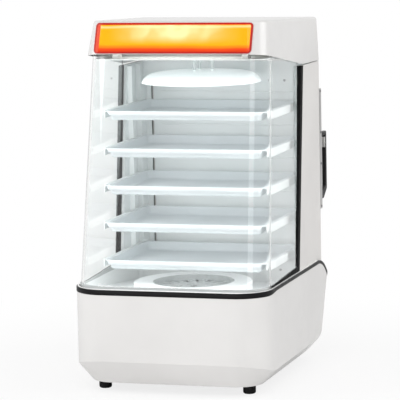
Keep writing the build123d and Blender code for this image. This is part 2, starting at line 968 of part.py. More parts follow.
# Hood: a leaning shell with an open underside
def hood_form(grow):
    """Outer form of the hood before its edge is cut, larger all round by grow."""
    rise = hood_high_level - hood_low_level
    lean = (hood_front_high - hood_front_low) / rise
    taper = (hood_half_high - hood_half_low) / rise
    taper_rear = (hood_half_rear_high - hood_half_rear_low) / (hood_high_level - hood_edge_rear_level)
    ends = []
    for level in (hood_edge_rear_level - hood_corner, hood_high_level + hood_corner):
        up = level - hood_low_level
        ends.append(
            outline(
                level,
                front + hood_front_low + lean * up - grow,
                front + hood_rear + grow,
                hood_half_low + taper * up + grow,
                hood_half_rear_low + taper_rear * (level - hood_edge_rear_level) + grow,
                hood_corner + grow,
                hood_rear_corner + grow,
            )
        )
    return lofted(ends[0], ends[1])


def hood_side(grow):
    """Side outline of the hood: sloping roof, and a lower edge that rises to the front."""
    fall = (hood_high_level - hood_rear_top_level) / (hood_rear - hood_front_high)
    roof_front = hood_high_level + grow + fall * (hood_front_high + reach + front)
    roof_rear = hood_high_level + grow - fall * (reach - front - hood_front_high)
    return side_slab(
        (-reach, hood_edge_at(-reach)),
        (front + hood_edge_turn_depth, hood_edge_turn_level),
        (front + hood_rear, hood_edge_rear_level),
        (reach, hood_edge_rear_level),
        (reach, roof_rear),
        (-reach, roof_front),
    )


with BuildPart() as hood_room:
    add(hood_form(-hood_wall))
    add(hood_side(-hood_wall), mode=Mode.INTERSECT)

with BuildPart() as hood_shell:
    add(hood_form(0))
    add(hood_side(0), mode=Mode.INTERSECT)
    fillet(hood_shell.faces().sort_by(Axis.Z)[-1].edges(), hood_edge_round)
    add(hood_room.part, mode=Mode.SUBTRACT)
hood_shell.part.label = "hood_shell"
pieces.append(hood_shell.part)

# Ceiling panel inside the hood, clear of the glass, with the white dome hung under it
with BuildPart() as ceiling_panel:
    add(glass_form(-glass_thickness - ceiling_gap))
    add(side_slab(
        (-reach, ceiling_level),
        (front + column_rear - sill_depth, ceiling_level),
        (front + column_rear - sill_depth, ceiling_level + ceiling_thickness),
        (-reach, ceiling_level + ceiling_thickness),
    ), mode=Mode.INTERSECT)
ceiling_panel.part.label = "ceiling_panel"
pieces.append(ceiling_panel.part)

dome_y = front + dome_depth
with BuildPart() as ceiling_dome:
    with BuildSketch(Plane.XZ.offset(-dome_y)):
        with BuildLine():
            crown = Line((0, dome_top_level), (dome_top_radius / 2, dome_top_level))
            side_curve = Spline(
                crown @ 1,
                (dome_top_radius, dome_top_level - dome_sheet),
                (dome_radius, dome_bottom_level),
                tangents=((1, 0), (0.35, -1)),
            )
            Polyline(side_curve @ 1, (0, dome_bottom_level), crown @ 0)
        make_face()
    revolve(axis=Axis((0, dome_y, 0), (0, 0, 1)))
    offset(amount=-dome_sheet, openings=ceiling_dome.faces().sort_by(Axis.Z)[0])
    with BuildSketch(Plane.XY.offset(dome_top_level)):
        with Locations((0, dome_y)):
            with PolarLocations(hanger_circle / 2, 3):
                Circle(hanger_radius)
    extrude(amount=ceiling_level - dome_top_level)
ceiling_dome.part.label = "ceiling_dome"
pieces.append(ceiling_dome.part)

# Lit sign on the hood's front, wrapped round its corners, with the lamp behind it
sign_middle = (sign_left + sign_right) / 2
sign_centre_level = (sign_bottom + sign_top) / 2
sign_width = sign_right - sign_left
sign_height = sign_top - sign_bottom


def sign_window(shrink):
    """Prism of the sign's outline, run through the hood's front."""
    with BuildPart() as window:
        with BuildSketch(Plane.XZ.offset(-front - hood_front_low - hood_corner)):
            with Locations((sign_middle, sign_centre_level)):
                RectangleRounded(
                    sign_width - 2 * shrink,
                    sign_height - 2 * shrink,
                    sign_corner - shrink,
                )
        extrude(amount=2 * hood_corner)
    return window.part


hood_skin = hood_form(sign_gap)
with BuildPart() as sign_panel:
    add(hood_form(sign_gap + sign_panel_thickness))
    add(hood_skin, mode=Mode.SUBTRACT)
    add(sign_window(sign_frame_width + sign_gap / 2), mode=Mode.INTERSECT)
sign_panel.part.label = "sign_panel"
pieces.append(sign_panel.part)

with BuildPart() as sign_frame:
    add(hood_form(sign_gap + sign_frame_thickness))
    add(hood_skin, mode=Mode.SUBTRACT)
    add(sign_window(0), mode=Mode.INTERSECT)
    add(sign_window(sign_frame_width), mode=Mode.SUBTRACT)
sign_frame.part.label = "sign_frame"
pieces.append(sign_frame.part)

lamp_y = front + lamp_depth
with BuildPart() as sign_lamp:
    with BuildSketch(Plane.YZ.offset(-lamp_half_length)):
        with Locations((lamp_y, lamp_level)):
            Circle(lamp_radius)
    extrude(amount=2 * lamp_half_length)
sign_lamp.part.label = "sign_lamp"
pieces.append(sign_lamp.part)

with BuildPart() as lamp_holders:
    for side in (-1, 1):
        near = side * lamp_half_length
        far = side * (lamp_half_length + lamp_holder_length)
        with BuildSketch(Plane.XY.offset(ceiling_level + ceiling_thickness)):
            with Locations(((near + far) / 2, lamp_y)):
                Rectangle(lamp_holder_length, 2 * lamp_holder_half)
        extrude(amount=lamp_level + lamp_holder_half - ceiling_level - ceiling_thickness)
lamp_holders.part.label = "lamp_holders"
pieces.append(lamp_holders.part)


# Trays: shallow dishes with a flat flange, each a little further forward than the one above
def tray_outline(level, front_at, inset, shrink):
    """Rounded outline of a tray at one height."""
    half = tray_half_width - inset
    corner = max(tray_corner - inset, shrink)
    return outline(level, front_at + inset, front_at + tray_depth - inset, half, half, corner, corner)


def tray_rim_at(number):
    """Height of a tray's rim, counted from the top tray."""
    return top_tray_rim - tray_pitch * number


def tray_front_at(number):
    """Front of a tray, counted from the top tray."""
    return front + top_tray_front - rack_lean * number


for number in range(tray_count):
    rim = tray_rim_at(number)
    tray_front = tray_front_at(number)
    dish_low = tray_flange + tray_draft
    with BuildPart() as tray:
        loft([
            tray_outline(rim - tray_height, tray_front, dish_low, tray_sheet),
            tray_outline(rim, tray_front, tray_flange, tray_sheet),
        ])
        extrude(tray_outline(rim - tray_sheet, tray_front, 0, tray_sheet), amount=tray_sheet)
        loft([
            tray_outline(rim - tray_height + tray_sheet, tray_front, dish_low + tray_sheet, tray_sheet),
            tray_outline(rim, tray_front, tray_flange + tray_sheet, tray_sheet),
        ], mode=Mode.SUBTRACT)
    tray.part.label = "tray_" + str(number + 1)
    pieces.append(tray.part)

# Racks: two posts on each jamb with five angle rails under the tray flanges
rail_inner = tray_half_width - tray_flange + rail_side_gap / 2
rail_web_inner = tray_half_width + rail_side_gap
rail_outer = rail_web_inner + rail_sheet
for side, side_name in ((-1, "left"), (1, "right")):
    with BuildPart() as rack:
        with BuildSketch(Plane.XY.offset(post_bottom)):
            for post_depth in (post_front_depth, post_rear_depth):
                with Locations((side * (rail_outer + jamb_inner) / 2, front + post_depth + post_size / 2)):
                    Rectangle(jamb_inner - rail_outer, post_size)
        extrude(amount=post_top - post_bottom)
        for number in range(tray_count):
            shelf = tray_rim_at(number) - tray_sheet - rail_clearance
            rail_front = tray_front_at(number) + rail_front_inset
            with BuildSketch(Plane.XZ.offset(-rail_front)):
                with BuildLine():
                    Polyline(
                        (side * rail_inner, shelf),
                        (side * rail_web_inner, shelf),
                        (side * rail_web_inner, shelf + tray_sheet + rail_clearance),
                        (side * rail_outer, shelf + tray_sheet + rail_clearance),
                        (side * rail_outer, shelf - rail_web_height),
                        (side * rail_web_inner, shelf - rail_web_height),
                        (side * rail_web_inner, shelf - rail_sheet),
                        (side * rail_inner, shelf - rail_sheet),
                        close=True,
                    )
                make_face()
            extrude(amount=-(front + rail_rear_depth - rail_front))
    rack.part.label = "rack_" + side_name
    pieces.append(rack.part)

# Rear door: seal, panel and beaded liner, closing on the column's rear face
door_inner_y = front + door_inner
door_outer_y = front + door_outer
door_middle = (door_left + door_right) / 2
door_width = door_right - door_left
door_height = door_top - door_bottom
door_centre_level = (door_top + door_bottom) / 2
strip_back_y = door_outer_y + edge_strip_sheet
strip_screw_y = strip_back_y - edge_strip_return / 2
with BuildPart() as door_panel:
    with BuildSketch(Plane.XZ.offset(-door_inner_y)):
        with Locations((door_middle, door_centre_level)):
            RectangleRounded(door_width, door_height, door_corner)
    extrude(amount=-door_thickness)
    with BuildSketch(Plane.YZ.offset(door_right)):
        with Locations(*[(strip_screw_y, level) for level in strip_screw_levels]):
            Circle(screw_shank_radius + screw_hole_gap)
    extrude(amount=-screw_shank_length, mode=Mode.SUBTRACT)
door_panel.part.label = "door_panel"
pieces.append(door_panel.part)

with BuildPart() as door_seal:
    with BuildSketch(Plane.XZ.offset(-door_inner_y)):
        with Locations((door_middle, door_centre_level)):
            RectangleRounded(
                door_width - 2 * door_seal_inset,
                door_height - 2 * door_seal_inset,
                door_corner,
            )
            Rectangle(
                door_width - 2 * door_seal_inset - 2 * door_seal_width,
                door_height - 2 * door_seal_inset - 2 * door_seal_width,
                mode=Mode.SUBTRACT,
            )
    extrude(amount=door_seal_thickness)
door_seal.part.label = "door_seal"
pieces.append(door_seal.part)

with BuildPart() as door_liner:
    with BuildSketch(Plane.XZ.offset(-door_inner_y)):
        with Locations((door_middle, door_centre_level)):
            RectangleRounded(door_width - 2 * liner_inset, door_height - 2 * liner_inset, door_corner)
    extrude(amount=liner_thickness)
    bead_half = door_width / 2 - 2 * liner_inset
    for bead in range(bead_count):
        bead_level = bead_top_level - bead * bead_pitch
        with BuildSketch(Plane.YZ.offset(door_middle - bead_half)):
            with Locations((door_inner_y - liner_thickness, bead_level)):
                Circle(bead_radius)
        extrude(amount=2 * bead_half)
door_liner.part.label = "door_liner"
pieces.append(door_liner.part)

# Angle strip on the door's free edge, its screws, and the bow handle on it
with BuildPart() as door_edge_strip:
    with BuildSketch(Plane.XY.offset(edge_strip_bottom)):
        with BuildLine():
            Polyline(
                (edge_strip_left, door_outer_y),
                (edge_strip_right - edge_strip_sheet, door_outer_y),
                (edge_strip_right - edge_strip_sheet, strip_back_y - edge_strip_return),
                (edge_strip_right, strip_back_y - edge_strip_return),
                (edge_strip_right, strip_back_y),
                (edge_strip_left, strip_back_y),
                close=True,
            )
        make_face()
    extrude(amount=edge_strip_top - edge_strip_bottom)
    with BuildSketch(Plane.YZ.offset(edge_strip_right)):
        with Locations(*[(strip_screw_y, level) for level in strip_screw_levels]):
            Circle(screw_shank_radius + screw_hole_gap)
    extrude(amount=-edge_strip_sheet, mode=Mode.SUBTRACT)
door_edge_strip.part.label = "door_edge_strip"
pieces.append(door_edge_strip.part)

with BuildPart() as strip_screws:
    with BuildSketch(Plane.YZ.offset(edge_strip_right)):
        with Locations(*[(strip_screw_y, level) for level in strip_screw_levels]):
            Circle(screw_head_radius)
    extrude(amount=screw_head_height)
    with BuildSketch(Plane.YZ.offset(edge_strip_right)):
        with Locations(*[(strip_screw_y, level) for level in strip_screw_levels]):
            Circle(screw_shank_radius)
    extrude(amount=-screw_shank_length)
strip_screws.part.label = "strip_screws"
pieces.append(strip_screws.part)

grip_inner_y = strip_back_y + handle_reach - handle_grip
grip_outer_y = strip_back_y + handle_reach
with BuildPart() as door_handle:
    with BuildSketch(Plane.YZ.offset(edge_strip_right - handle_width)):
        with BuildLine():
            Polyline(
                (strip_back_y, handle_top),
                (grip_outer_y, handle_top),
                (grip_outer_y, handle_bottom + handle_heel_height),
                (strip_back_y + handle_heel_reach, handle_bottom),
                (strip_back_y, handle_bottom),
                (strip_back_y, handle_bottom + handle_leg + handle_grip),
                (grip_inner_y, handle_bottom + handle_heel_height + handle_leg),
                (grip_inner_y, handle_top - handle_leg),
                (strip_back_y, handle_top - handle_leg),
                close=True,
            )
        make_face()
        fillet(vertices().group_by(Axis.X)[-1], handle_leg / 2)
    extrude(amount=handle_width)
door_handle.part.label = "door_handle"
pieces.append(door_handle.part)

# Lift-off hinges: the lower half of each is fixed to the column, the upper half to the door
hinge_y = front + hinge_axis_depth
with BuildPart() as hinge_fixed_leaves:
    for level in hinge_levels:
        with BuildSketch(Plane.XY.offset(level - hinge_half_height)):
            with Locations((hinge_axis_x, hinge_y)):
                Circle(hinge_knuckle_radius)
            with Locations((hinge_axis_x, (front + column_rear + hinge_y) / 2)):
                Rectangle(hinge_sheet, hinge_y - front - column_rear)
            with Locations((door_left - hinge_knuckle_radius, front + column_rear + hinge_sheet / 2)):
                Rectangle(2 * hinge_knuckle_radius, hinge_sheet)
            with Locations((hinge_axis_x, hinge_y)):
                Circle(hinge_pin_radius, mode=Mode.SUBTRACT)
        extrude(amount=hinge_half_height - hinge_parting / 2)
hinge_fixed_leaves.part.label = "hinge_fixed_leaves"
pieces.append(hinge_fixed_leaves.part)

with BuildPart() as hinge_door_leaves:
    for level in hinge_levels:
        with BuildSketch(Plane.XY.offset(level + hinge_parting / 2)):
            with Locations((hinge_axis_x, hinge_y)):
                Circle(hinge_knuckle_radius)
            with Locations((hinge_axis_x, (strip_back_y + hinge_y) / 2)):
                Rectangle(hinge_sheet, strip_back_y - hinge_y)
            leaf_end = door_left + hinge_leaf_reach
            with Locations(((hinge_axis_x + leaf_end) / 2, door_outer_y + hinge_sheet / 2)):
                Rectangle(leaf_end - hinge_axis_x, hinge_sheet)
            with Locations((hinge_axis_x, hinge_y)):
                Circle(hinge_pin_radius + hinge_running_gap, mode=Mode.SUBTRACT)
        extrude(amount=hinge_half_height - hinge_parting / 2)
hinge_door_leaves.part.label = "hinge_door_leaves"
pieces.append(hinge_door_leaves.part)

with BuildPart() as hinge_pins:
    for level in hinge_levels:
        with BuildSketch(Plane.XY.offset(level - hinge_half_height)):
            with Locations((hinge_axis_x, hinge_y)):
                Circle(hinge_pin_radius)
        extrude(amount=2 * hinge_half_height)
hinge_pins.part.label = "hinge_pins"
pieces.append(hinge_pins.part)

# Magnet catch at the door's free edge
catch_x = door_right - catch_half_width - door_gap
with BuildPart() as catch_plate:
    add(block(
        catch_x - catch_half_width, catch_x + catch_half_width - door_gap,
        front + column_rear, door_inner_y - catch_thickness - door_gap,
        catch_level - catch_half_height, catch_level + catch_half_height,
    ))
catch_plate.part.label = "catch_plate"
pieces.append(catch_plate.part)

with BuildPart() as door_magnet:
    add(block(
        catch_x - catch_half_width, catch_x + catch_half_width - door_gap,
        door_inner_y - catch_thickness, door_inner_y,
        catch_level - catch_half_height, catch_level + catch_half_height,
    ))
door_magnet.part.label = "door_magnet"
pieces.append(door_magnet.part)

# Screws on the header and on the pan's rear wall
with BuildPart() as header_screws:
    with BuildSketch(Plane.XZ.offset(-front - column_rear + sill_depth)):
        with Locations((-header_screw_x, header_screw_level), (header_screw_x, header_screw_level)):
            Circle(screw_head_radius)
    extrude(amount=screw_head_height)
header_screws.part.label = "header_screws"
pieces.append(header_screws.part)

with BuildPart() as pan_screws:
    with BuildSketch(Plane.XZ.offset(-pan_back + pan_wall)):
        with Locations((-pan_screw_x, pan_screw_level), (pan_screw_x, pan_screw_level)):
            Circle(screw_head_radius)
    extrude(amount=screw_head_height)
pan_screws.part.label = "pan_screws"
pieces.append(pan_screws.part)

# Controls on the leaning rear wall: rocker switch, temperature dial, pilot lamp and cable gland
with BuildPart() as switch_bezel:
    with BuildSketch(rear_wall):
        with Locations((-switch_x, 0)):
            RectangleRounded(switch_bezel_width, switch_bezel_height, switch_bezel_thickness)
            Rectangle(switch_window_width, switch_window_height, mode=Mode.SUBTRACT)
    extrude(amount=switch_bezel_thickness)
switch_bezel.part.label = "switch_bezel"
pieces.append(switch_bezel.part)

rocker_width = switch_window_width - 2 * rocker_side_gap
tilt = math.radians(rocker_tilt)
rocker_plane = Plane(
    origin=rear_wall.from_local_coords(Vector(-switch_x - rocker_width / 2, 0, -rocker_pivot_depth)),
    x_dir=rear_wall.y_dir * math.cos(tilt) + rear_wall.z_dir * math.sin(tilt),
    z_dir=rear_wall.x_dir,
)
with BuildPart() as power_rocker:
    with BuildSketch(rocker_plane):
        with BuildLine():
            Polyline(
                (-rocker_half_height, rocker_pivot_depth + rocker_rise),
                (0, rocker_pivot_depth + rocker_dip),
                (rocker_half_height, rocker_pivot_depth + rocker_rise),
                (rocker_half_height - rocker_dip, -rocker_depth / 2),
                (rocker_dip - rocker_half_height, -rocker_depth / 2),
                close=True,
            )
        make_face()
    extrude(amount=rocker_width)
power_rocker.part.label = "power_rocker"
pieces.append(power_rocker.part)

with BuildPart() as temperature_dial:
    with BuildSketch(rear_wall.offset(dial_lift)):
        with Locations((-dial_x, 0)):
            Circle(dial_radius)
            with PolarLocations(dial_radius, dial_grips):
                Circle(dial_grip_radius, mode=Mode.SUBTRACT)
    extrude(amount=dial_height / 2)
    with BuildSketch(rear_wall.offset(dial_lift + dial_height / 2)):
        with Locations((-dial_x, 0)):
            Circle(dial_cap_radius)
    extrude(amount=dial_height / 2)
    with BuildSketch(rear_wall.offset(dial_lift + dial_height / 2)):
        with Locations((-dial_x, dial_cap_radius / 2)):
            Rectangle(2 * dial_grip_radius, dial_cap_radius)
    extrude(amount=dial_height / 2 + dial_grip_radius)
    with BuildSketch(rear_wall.offset(dial_lift)):
        with Locations((-dial_x, 0)):
            Circle(dial_shaft_radius)
    extrude(amount=-dial_shaft_depth)
temperature_dial.part.label = "temperature_dial"
pieces.append(temperature_dial.part)

with BuildPart() as pilot_lamp:
    with BuildSketch(rear_wall):
        with Locations((-pilot_x, 0)):
            Circle(pilot_rim_radius)
    extrude(amount=pilot_rim_height)
    with BuildSketch(rear_wall.offset(pilot_rim_height)):
        with Locations((-pilot_x, 0)):
            Circle(pilot_radius)
    extrude(amount=pilot_radius / 2)
    outward = Axis(rear_wall.origin, rear_wall.z_dir)
    fillet(pilot_lamp.faces().sort_by(outward)[-1].edges(), pilot_radius / 3)
pilot_lamp.part.label = "pilot_lamp"
pieces.append(pilot_lamp.part)

with BuildPart() as cable_gland:
    with BuildSketch(rear_wall):
        with Locations((-gland_x, 0)):
            RegularPolygon(gland_collar_radius, 6)
            Circle(gland_bore, mode=Mode.SUBTRACT)
    extrude(amount=gland_collar_height)
    with BuildSketch(rear_wall.offset(gland_collar_height)):
        with Locations((-gland_x, 0)):
            Circle(gland_radius)
            Circle(gland_bore, mode=Mode.SUBTRACT)
    extrude(amount=gland_length - gland_collar_height)
cable_gland.part.label = "cable_gland"
pieces.append(cable_gland.part)

os.makedirs("parts", exist_ok=True)
for piece in pieces:
    export_step(piece, "parts/" + piece.label + ".step")
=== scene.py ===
import math

import bmesh
import bpy
from mathutils import Matrix, Vector


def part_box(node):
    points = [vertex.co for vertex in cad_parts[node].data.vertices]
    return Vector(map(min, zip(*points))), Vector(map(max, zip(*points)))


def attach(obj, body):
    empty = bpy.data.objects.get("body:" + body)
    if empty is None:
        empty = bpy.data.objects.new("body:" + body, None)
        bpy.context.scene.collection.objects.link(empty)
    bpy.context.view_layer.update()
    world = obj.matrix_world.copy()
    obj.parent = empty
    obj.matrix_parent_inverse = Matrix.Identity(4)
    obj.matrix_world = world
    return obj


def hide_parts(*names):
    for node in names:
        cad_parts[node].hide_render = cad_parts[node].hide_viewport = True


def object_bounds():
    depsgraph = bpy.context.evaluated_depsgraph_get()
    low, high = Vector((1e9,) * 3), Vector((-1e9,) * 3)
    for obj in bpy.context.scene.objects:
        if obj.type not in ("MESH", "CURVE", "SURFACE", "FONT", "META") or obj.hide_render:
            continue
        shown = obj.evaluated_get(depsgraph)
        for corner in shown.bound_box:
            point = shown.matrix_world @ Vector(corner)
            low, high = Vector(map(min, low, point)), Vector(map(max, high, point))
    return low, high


bl_info = {
    "name": "Bun Steamer Dresser",
    "version": (1, 0, 0),
    "blender": (4, 5, 0),
    "location": "3D View > Sidebar > Steamer",
    "description": "Gives the steamer its finishes, rolled edges, small hardware, stage and camera",
    "category": "Object",
}

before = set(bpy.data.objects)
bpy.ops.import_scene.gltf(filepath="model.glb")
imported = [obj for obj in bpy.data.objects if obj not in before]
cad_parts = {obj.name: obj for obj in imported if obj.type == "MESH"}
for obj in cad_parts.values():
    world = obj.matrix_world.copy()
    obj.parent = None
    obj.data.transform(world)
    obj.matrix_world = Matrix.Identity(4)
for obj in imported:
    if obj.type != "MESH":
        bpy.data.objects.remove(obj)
cad_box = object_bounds()

MM = 0.001

# The base's front, and levels and edges that finishes change at
FRONT = cad_box[0][1] + 0.8 * MM
RIM_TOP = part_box("rim_trim")[1][2]
SIGN_LOW, SIGN_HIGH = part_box("sign_panel")
JAMB_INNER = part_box("rear_sill")[1][0]
DOME_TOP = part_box("ceiling_dome")[0][2] + 22.4 * MM
SEAL_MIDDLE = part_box("glass_seal")[1][0] - 4.0 * MM
TUBE_END = 119.0 * MM

# Lean of the base's rear wall, numbers of the trays, and limits for merging and smoothing meshes
WALL_LEAN = math.radians(15.57)
TRAYS = range(1, 6)
MERGE_REACH = 0.002 * MM
SMOOTH_ANGLE = math.radians(40.0)


class SteamerFinishes(bpy.types.PropertyGroup):
    """Colours of the painted, moulded and lit surfaces."""

    base_paint: bpy.props.FloatVectorProperty(
        name="Base paint", description="Warm white of the base and hood", subtype="COLOR",
        size=3, min=0.0, max=1.0, default=(0.655, 0.645, 0.635),
    )
    column_paint: bpy.props.FloatVectorProperty(
        name="Column paint", description="Warm white of the column and door", subtype="COLOR",
        size=3, min=0.0, max=1.0, default=(0.67, 0.655, 0.64),
    )
    liner_enamel: bpy.props.FloatVectorProperty(
        name="Liner enamel", description="Cool white of the chamber's inner sheets", subtype="COLOR",
        size=3, min=0.0, max=1.0, default=(0.91, 0.94, 0.94),
    )
    tray_enamel: bpy.props.FloatVectorProperty(
        name="Tray enamel", description="Cool white of the five trays", subtype="COLOR",
        size=3, min=0.0, max=1.0, default=(0.68, 0.72, 0.74),
    )
    rubber: bpy.props.FloatVectorProperty(
        name="Rubber", description="Black of the gaskets, seals and feet", subtype="COLOR",
        size=3, min=0.0, max=1.0, default=(0.003, 0.003, 0.0032),
    )
    sign_low: bpy.props.FloatVectorProperty(
        name="Sign, low edge", description="Red at the foot of the lit sign", subtype="COLOR",
        size=3, min=0.0, max=1.0, default=(0.74, 0.046, 0.004),
    )
    sign_middle: bpy.props.FloatVectorProperty(
        name="Sign, middle", description="Orange yellow across the lit sign", subtype="COLOR",
        size=3, min=0.0, max=1.0, default=(1.0, 0.36, 0.0),
    )
    sign_glow: bpy.props.FloatVectorProperty(
        name="Sign, glow", description="Pale yellow where the lamp stands behind the sign", subtype="COLOR",
        size=3, min=0.0, max=1.0, default=(1.0, 0.80, 0.42),
    )


class SteamerGlass(bpy.types.PropertyGroup):
    """Sizes of the bent glass: its foot at the rim and its head under the hood."""

    thickness: bpy.props.FloatProperty(
        name="Thickness", description="Thickness of the sheet", subtype="DISTANCE",
        unit="LENGTH", default=4.0 * MM,
    )
    foot_half: bpy.props.FloatProperty(
        name="Foot half width", description="Half the width at the rim", subtype="DISTANCE",
        unit="LENGTH", default=184.0 * MM,
    )
    foot_setback: bpy.props.FloatProperty(
        name="Foot setback", description="Distance of the foot behind the base's front", subtype="DISTANCE",
        unit="LENGTH", default=14.0 * MM,
    )
    foot_corner: bpy.props.FloatProperty(
        name="Foot corner", description="Outer radius of the bends at the rim", subtype="DISTANCE",
        unit="LENGTH", default=57.0 * MM,
    )
    head_half: bpy.props.FloatProperty(
        name="Head half width", description="Half the width at the head, in front", subtype="DISTANCE",
        unit="LENGTH", default=172.0 * MM,
    )
    head_half_rear: bpy.props.FloatProperty(
        name="Head half width, rear", description="Half the width at the head, at the rear",
        subtype="DISTANCE", unit="LENGTH", default=180.5 * MM,
    )
    head_setback: bpy.props.FloatProperty(
        name="Head setback", description="Distance of the head behind the base's front", subtype="DISTANCE",
        unit="LENGTH", default=92.0 * MM,
    )
    head_corner: bpy.props.FloatProperty(
        name="Head corner", description="Outer radius of the bends at the head", subtype="DISTANCE",
        unit="LENGTH", default=50.0 * MM,
    )
    head_level: bpy.props.FloatProperty(
        name="Head level", description="Height at which the head's sizes hold", subtype="DISTANCE",
        unit="LENGTH", default=628.0 * MM,
    )


class SteamerHardware(bpy.types.PropertyGroup):
    """Sizes of the rolled edges and small hardware."""

    edge_round: bpy.props.FloatProperty(
        name="Edge rounding", description="Radius on the edges of the door panel", subtype="DISTANCE",
        unit="LENGTH", min=0.0001, default=0.8 * MM,
    )
    trim_round: bpy.props.FloatProperty(
        name="Trim rounding", description="Radius on the rim trim's edges", subtype="DISTANCE",
        unit="LENGTH", min=0.0001, default=1.4 * MM,
    )
    tray_lip: bpy.props.FloatProperty(
        name="Tray lip", description="Depth of the turned-down lip along each tray's front",
        subtype="DISTANCE", unit="LENGTH", min=0.001, default=6.0 * MM,
    )
    slot_lip: bpy.props.FloatProperty(
        name="Slot lip", description="Radius of the raised lip round each steam slot", subtype="DISTANCE",
        unit="LENGTH", min=0.0001, default=0.8 * MM,
    )
    screw_radius: bpy.props.FloatProperty(
        name="Screw head radius", description="Radius of the small pan-head screws", subtype="DISTANCE",
        unit="LENGTH", min=0.0001, default=2.6 * MM,
    )
    control_mark: bpy.props.FloatProperty(
        name="Control mark", description="Length of the marks round the dial and on the rocker",
        subtype="DISTANCE", unit="LENGTH", min=0.0005, default=3.2 * MM,
    )


class SteamerStage(bpy.types.PropertyGroup):
    """Camera and lamps."""

    azimuth: bpy.props.FloatProperty(
        name="Camera azimuth", description="Angle of the camera to the right of the front",
        subtype="ANGLE", unit="ROTATION", default=math.radians(16.792),
    )
    elevation: bpy.props.FloatProperty(
        name="Camera elevation", description="Angle of the camera above the horizon",
        subtype="ANGLE", unit="ROTATION", default=math.radians(7.385),
    )
    roll: bpy.props.FloatProperty(
        name="Camera roll", description="Tilt of the camera about its own axis",
        subtype="ANGLE", unit="ROTATION", default=math.radians(-1.15),
    )
    distance: bpy.props.FloatProperty(
        name="Camera distance", description="Distance from the camera to its target",
        subtype="DISTANCE", unit="LENGTH", default=4.7435,
    )
    key_power: bpy.props.FloatProperty(
        name="Key lamp", description="Power of the wide low lamp in front", subtype="POWER",
        unit="POWER", default=45.0,
    )
    top_power: bpy.props.FloatProperty(
        name="Top lamp", description="Power of the lamp high in front", subtype="POWER",
        unit="POWER", default=16.0,
    )
    left_power: bpy.props.FloatProperty(
        name="Left lamp", description="Power of the lamp high at the left", subtype="POWER",
        unit="POWER", default=42.0,
    )
    bend_power: bpy.props.FloatProperty(
        name="Bend lamp", description="Power of the lamp that the bend of the glass shows",
        subtype="POWER", unit="POWER", default=7.0,
    )
    side_power: bpy.props.FloatProperty(
        name="Side lamp", description="Power of the lamp high at the right", subtype="POWER",
        unit="POWER", default=44.0,
    )
    chamber_power: bpy.props.FloatProperty(
        name="Chamber lamps", description="Power of the faint lamp under each tray",
        subtype="POWER", unit="POWER", default=0.085,
    )
    sky_level: bpy.props.FloatProperty(
        name="Sky level", description="Strength of the even light from all round", default=0.53,
    )


def settings(context):
    """The property groups of the scene: finishes, glass, hardware, stage."""
    scene = context.scene
    return scene.steamer_finishes, scene.steamer_glass, scene.steamer_hardware, scene.steamer_stage


# Materials


def blank_finish(name):
    """Node tree of a new material, its shader, and the object coordinates that its patterns read."""
    finish = bpy.data.materials.new(name)
    finish.use_nodes = True
    tree = finish.node_tree
    return tree, tree.nodes["Principled BSDF"], tree.nodes.new("ShaderNodeTexCoord").outputs["Object"]


def set_inputs(node, **values):
    """Sets inputs of a node, whose labels are written with underscores here."""
    for label, value in values.items():
        node.inputs[label.replace("_", " ")].default_value = value


def solid(color):
    """The colour with nothing of it transparent."""
    return (*color, 1.0)


def shaded(color, share):
    """The colour made darker or lighter by a share."""
    return tuple(min(1.0, channel * share) for channel in color)


def feed(tree, value, socket):
    """Links an input to an output, or sets it to a plain value."""
    if isinstance(value, bpy.types.NodeSocket):
        tree.links.new(value, socket)
    else:
        socket.default_value = value


def calculated(tree, operation, *values):
    """Result of a math node on outputs and plain numbers."""
    node = tree.nodes.new("ShaderNodeMath")
    node.operation = operation
    for value, socket in zip(values, node.inputs):
        feed(tree, value, socket)
    return node.outputs["Value"]


def remapped(tree, value, start, end, low=0.0, high=1.0, eased_ends=False):
    """Number that runs from low to high while the value runs from start to end."""
    node = tree.nodes.new("ShaderNodeMapRange")
    node.interpolation_type = "SMOOTHSTEP" if eased_ends else "LINEAR"
    for label, number in (("From Min", start), ("From Max", end), ("To Min", low), ("To Max", high)):
        node.inputs[label].default_value = number
    tree.links.new(value, node.inputs["Value"])
    return node.outputs["Result"]


def blended(tree, factor, first, second):
    """Colour that turns from the first into the second with the factor."""
    node = tree.nodes.new("ShaderNodeMix")
    node.data_type = "RGBA"
    tree.links.new(factor, node.inputs["Factor"])
    feed(tree, first, node.inputs[6])
    feed(tree, second, node.inputs[7])
    return node.outputs[2]


def parted(tree, place):
    """The outputs X, Y and Z of a place."""
    axes = tree.nodes.new("ShaderNodeSeparateXYZ")
    tree.links.new(place, axes.inputs["Vector"])
    return axes.outputs


def seen_by(tree, first, *others):
    """1 for rays of the named kinds and 0 for all others."""
    path = tree.nodes.new("ShaderNodeLightPath")
    seen = path.outputs[first]
    for kind in others:
        seen = calculated(tree, "MAXIMUM", seen, path.outputs[kind])
    return seen


def mix_surfaces(tree, factor, first, second, end):
    """Turns the surface from the first shader's into the second's with the factor."""
    mix = tree.nodes.new("ShaderNodeMixShader")
    tree.links.new(factor, mix.inputs["Fac"])
    tree.links.new(first, mix.inputs[1])
    tree.links.new(second, mix.inputs[2])
    tree.links.new(mix.outputs["Shader"], end.inputs["Surface"])


def cloud(tree, place, scale, detail=4.0, stretch=(1.0, 1.0, 1.0)):
    """Noise of one size over the object, stretched where a grain runs."""
    mapping = tree.nodes.new("ShaderNodeMapping")
    set_inputs(mapping, Scale=stretch)
    tree.links.new(place, mapping.inputs["Vector"])
    noise = tree.nodes.new("ShaderNodeTexNoise")
    set_inputs(noise, Scale=scale, Detail=detail)
    tree.links.new(mapping.outputs["Vector"], noise.inputs["Vector"])
    return noise.outputs["Fac"]


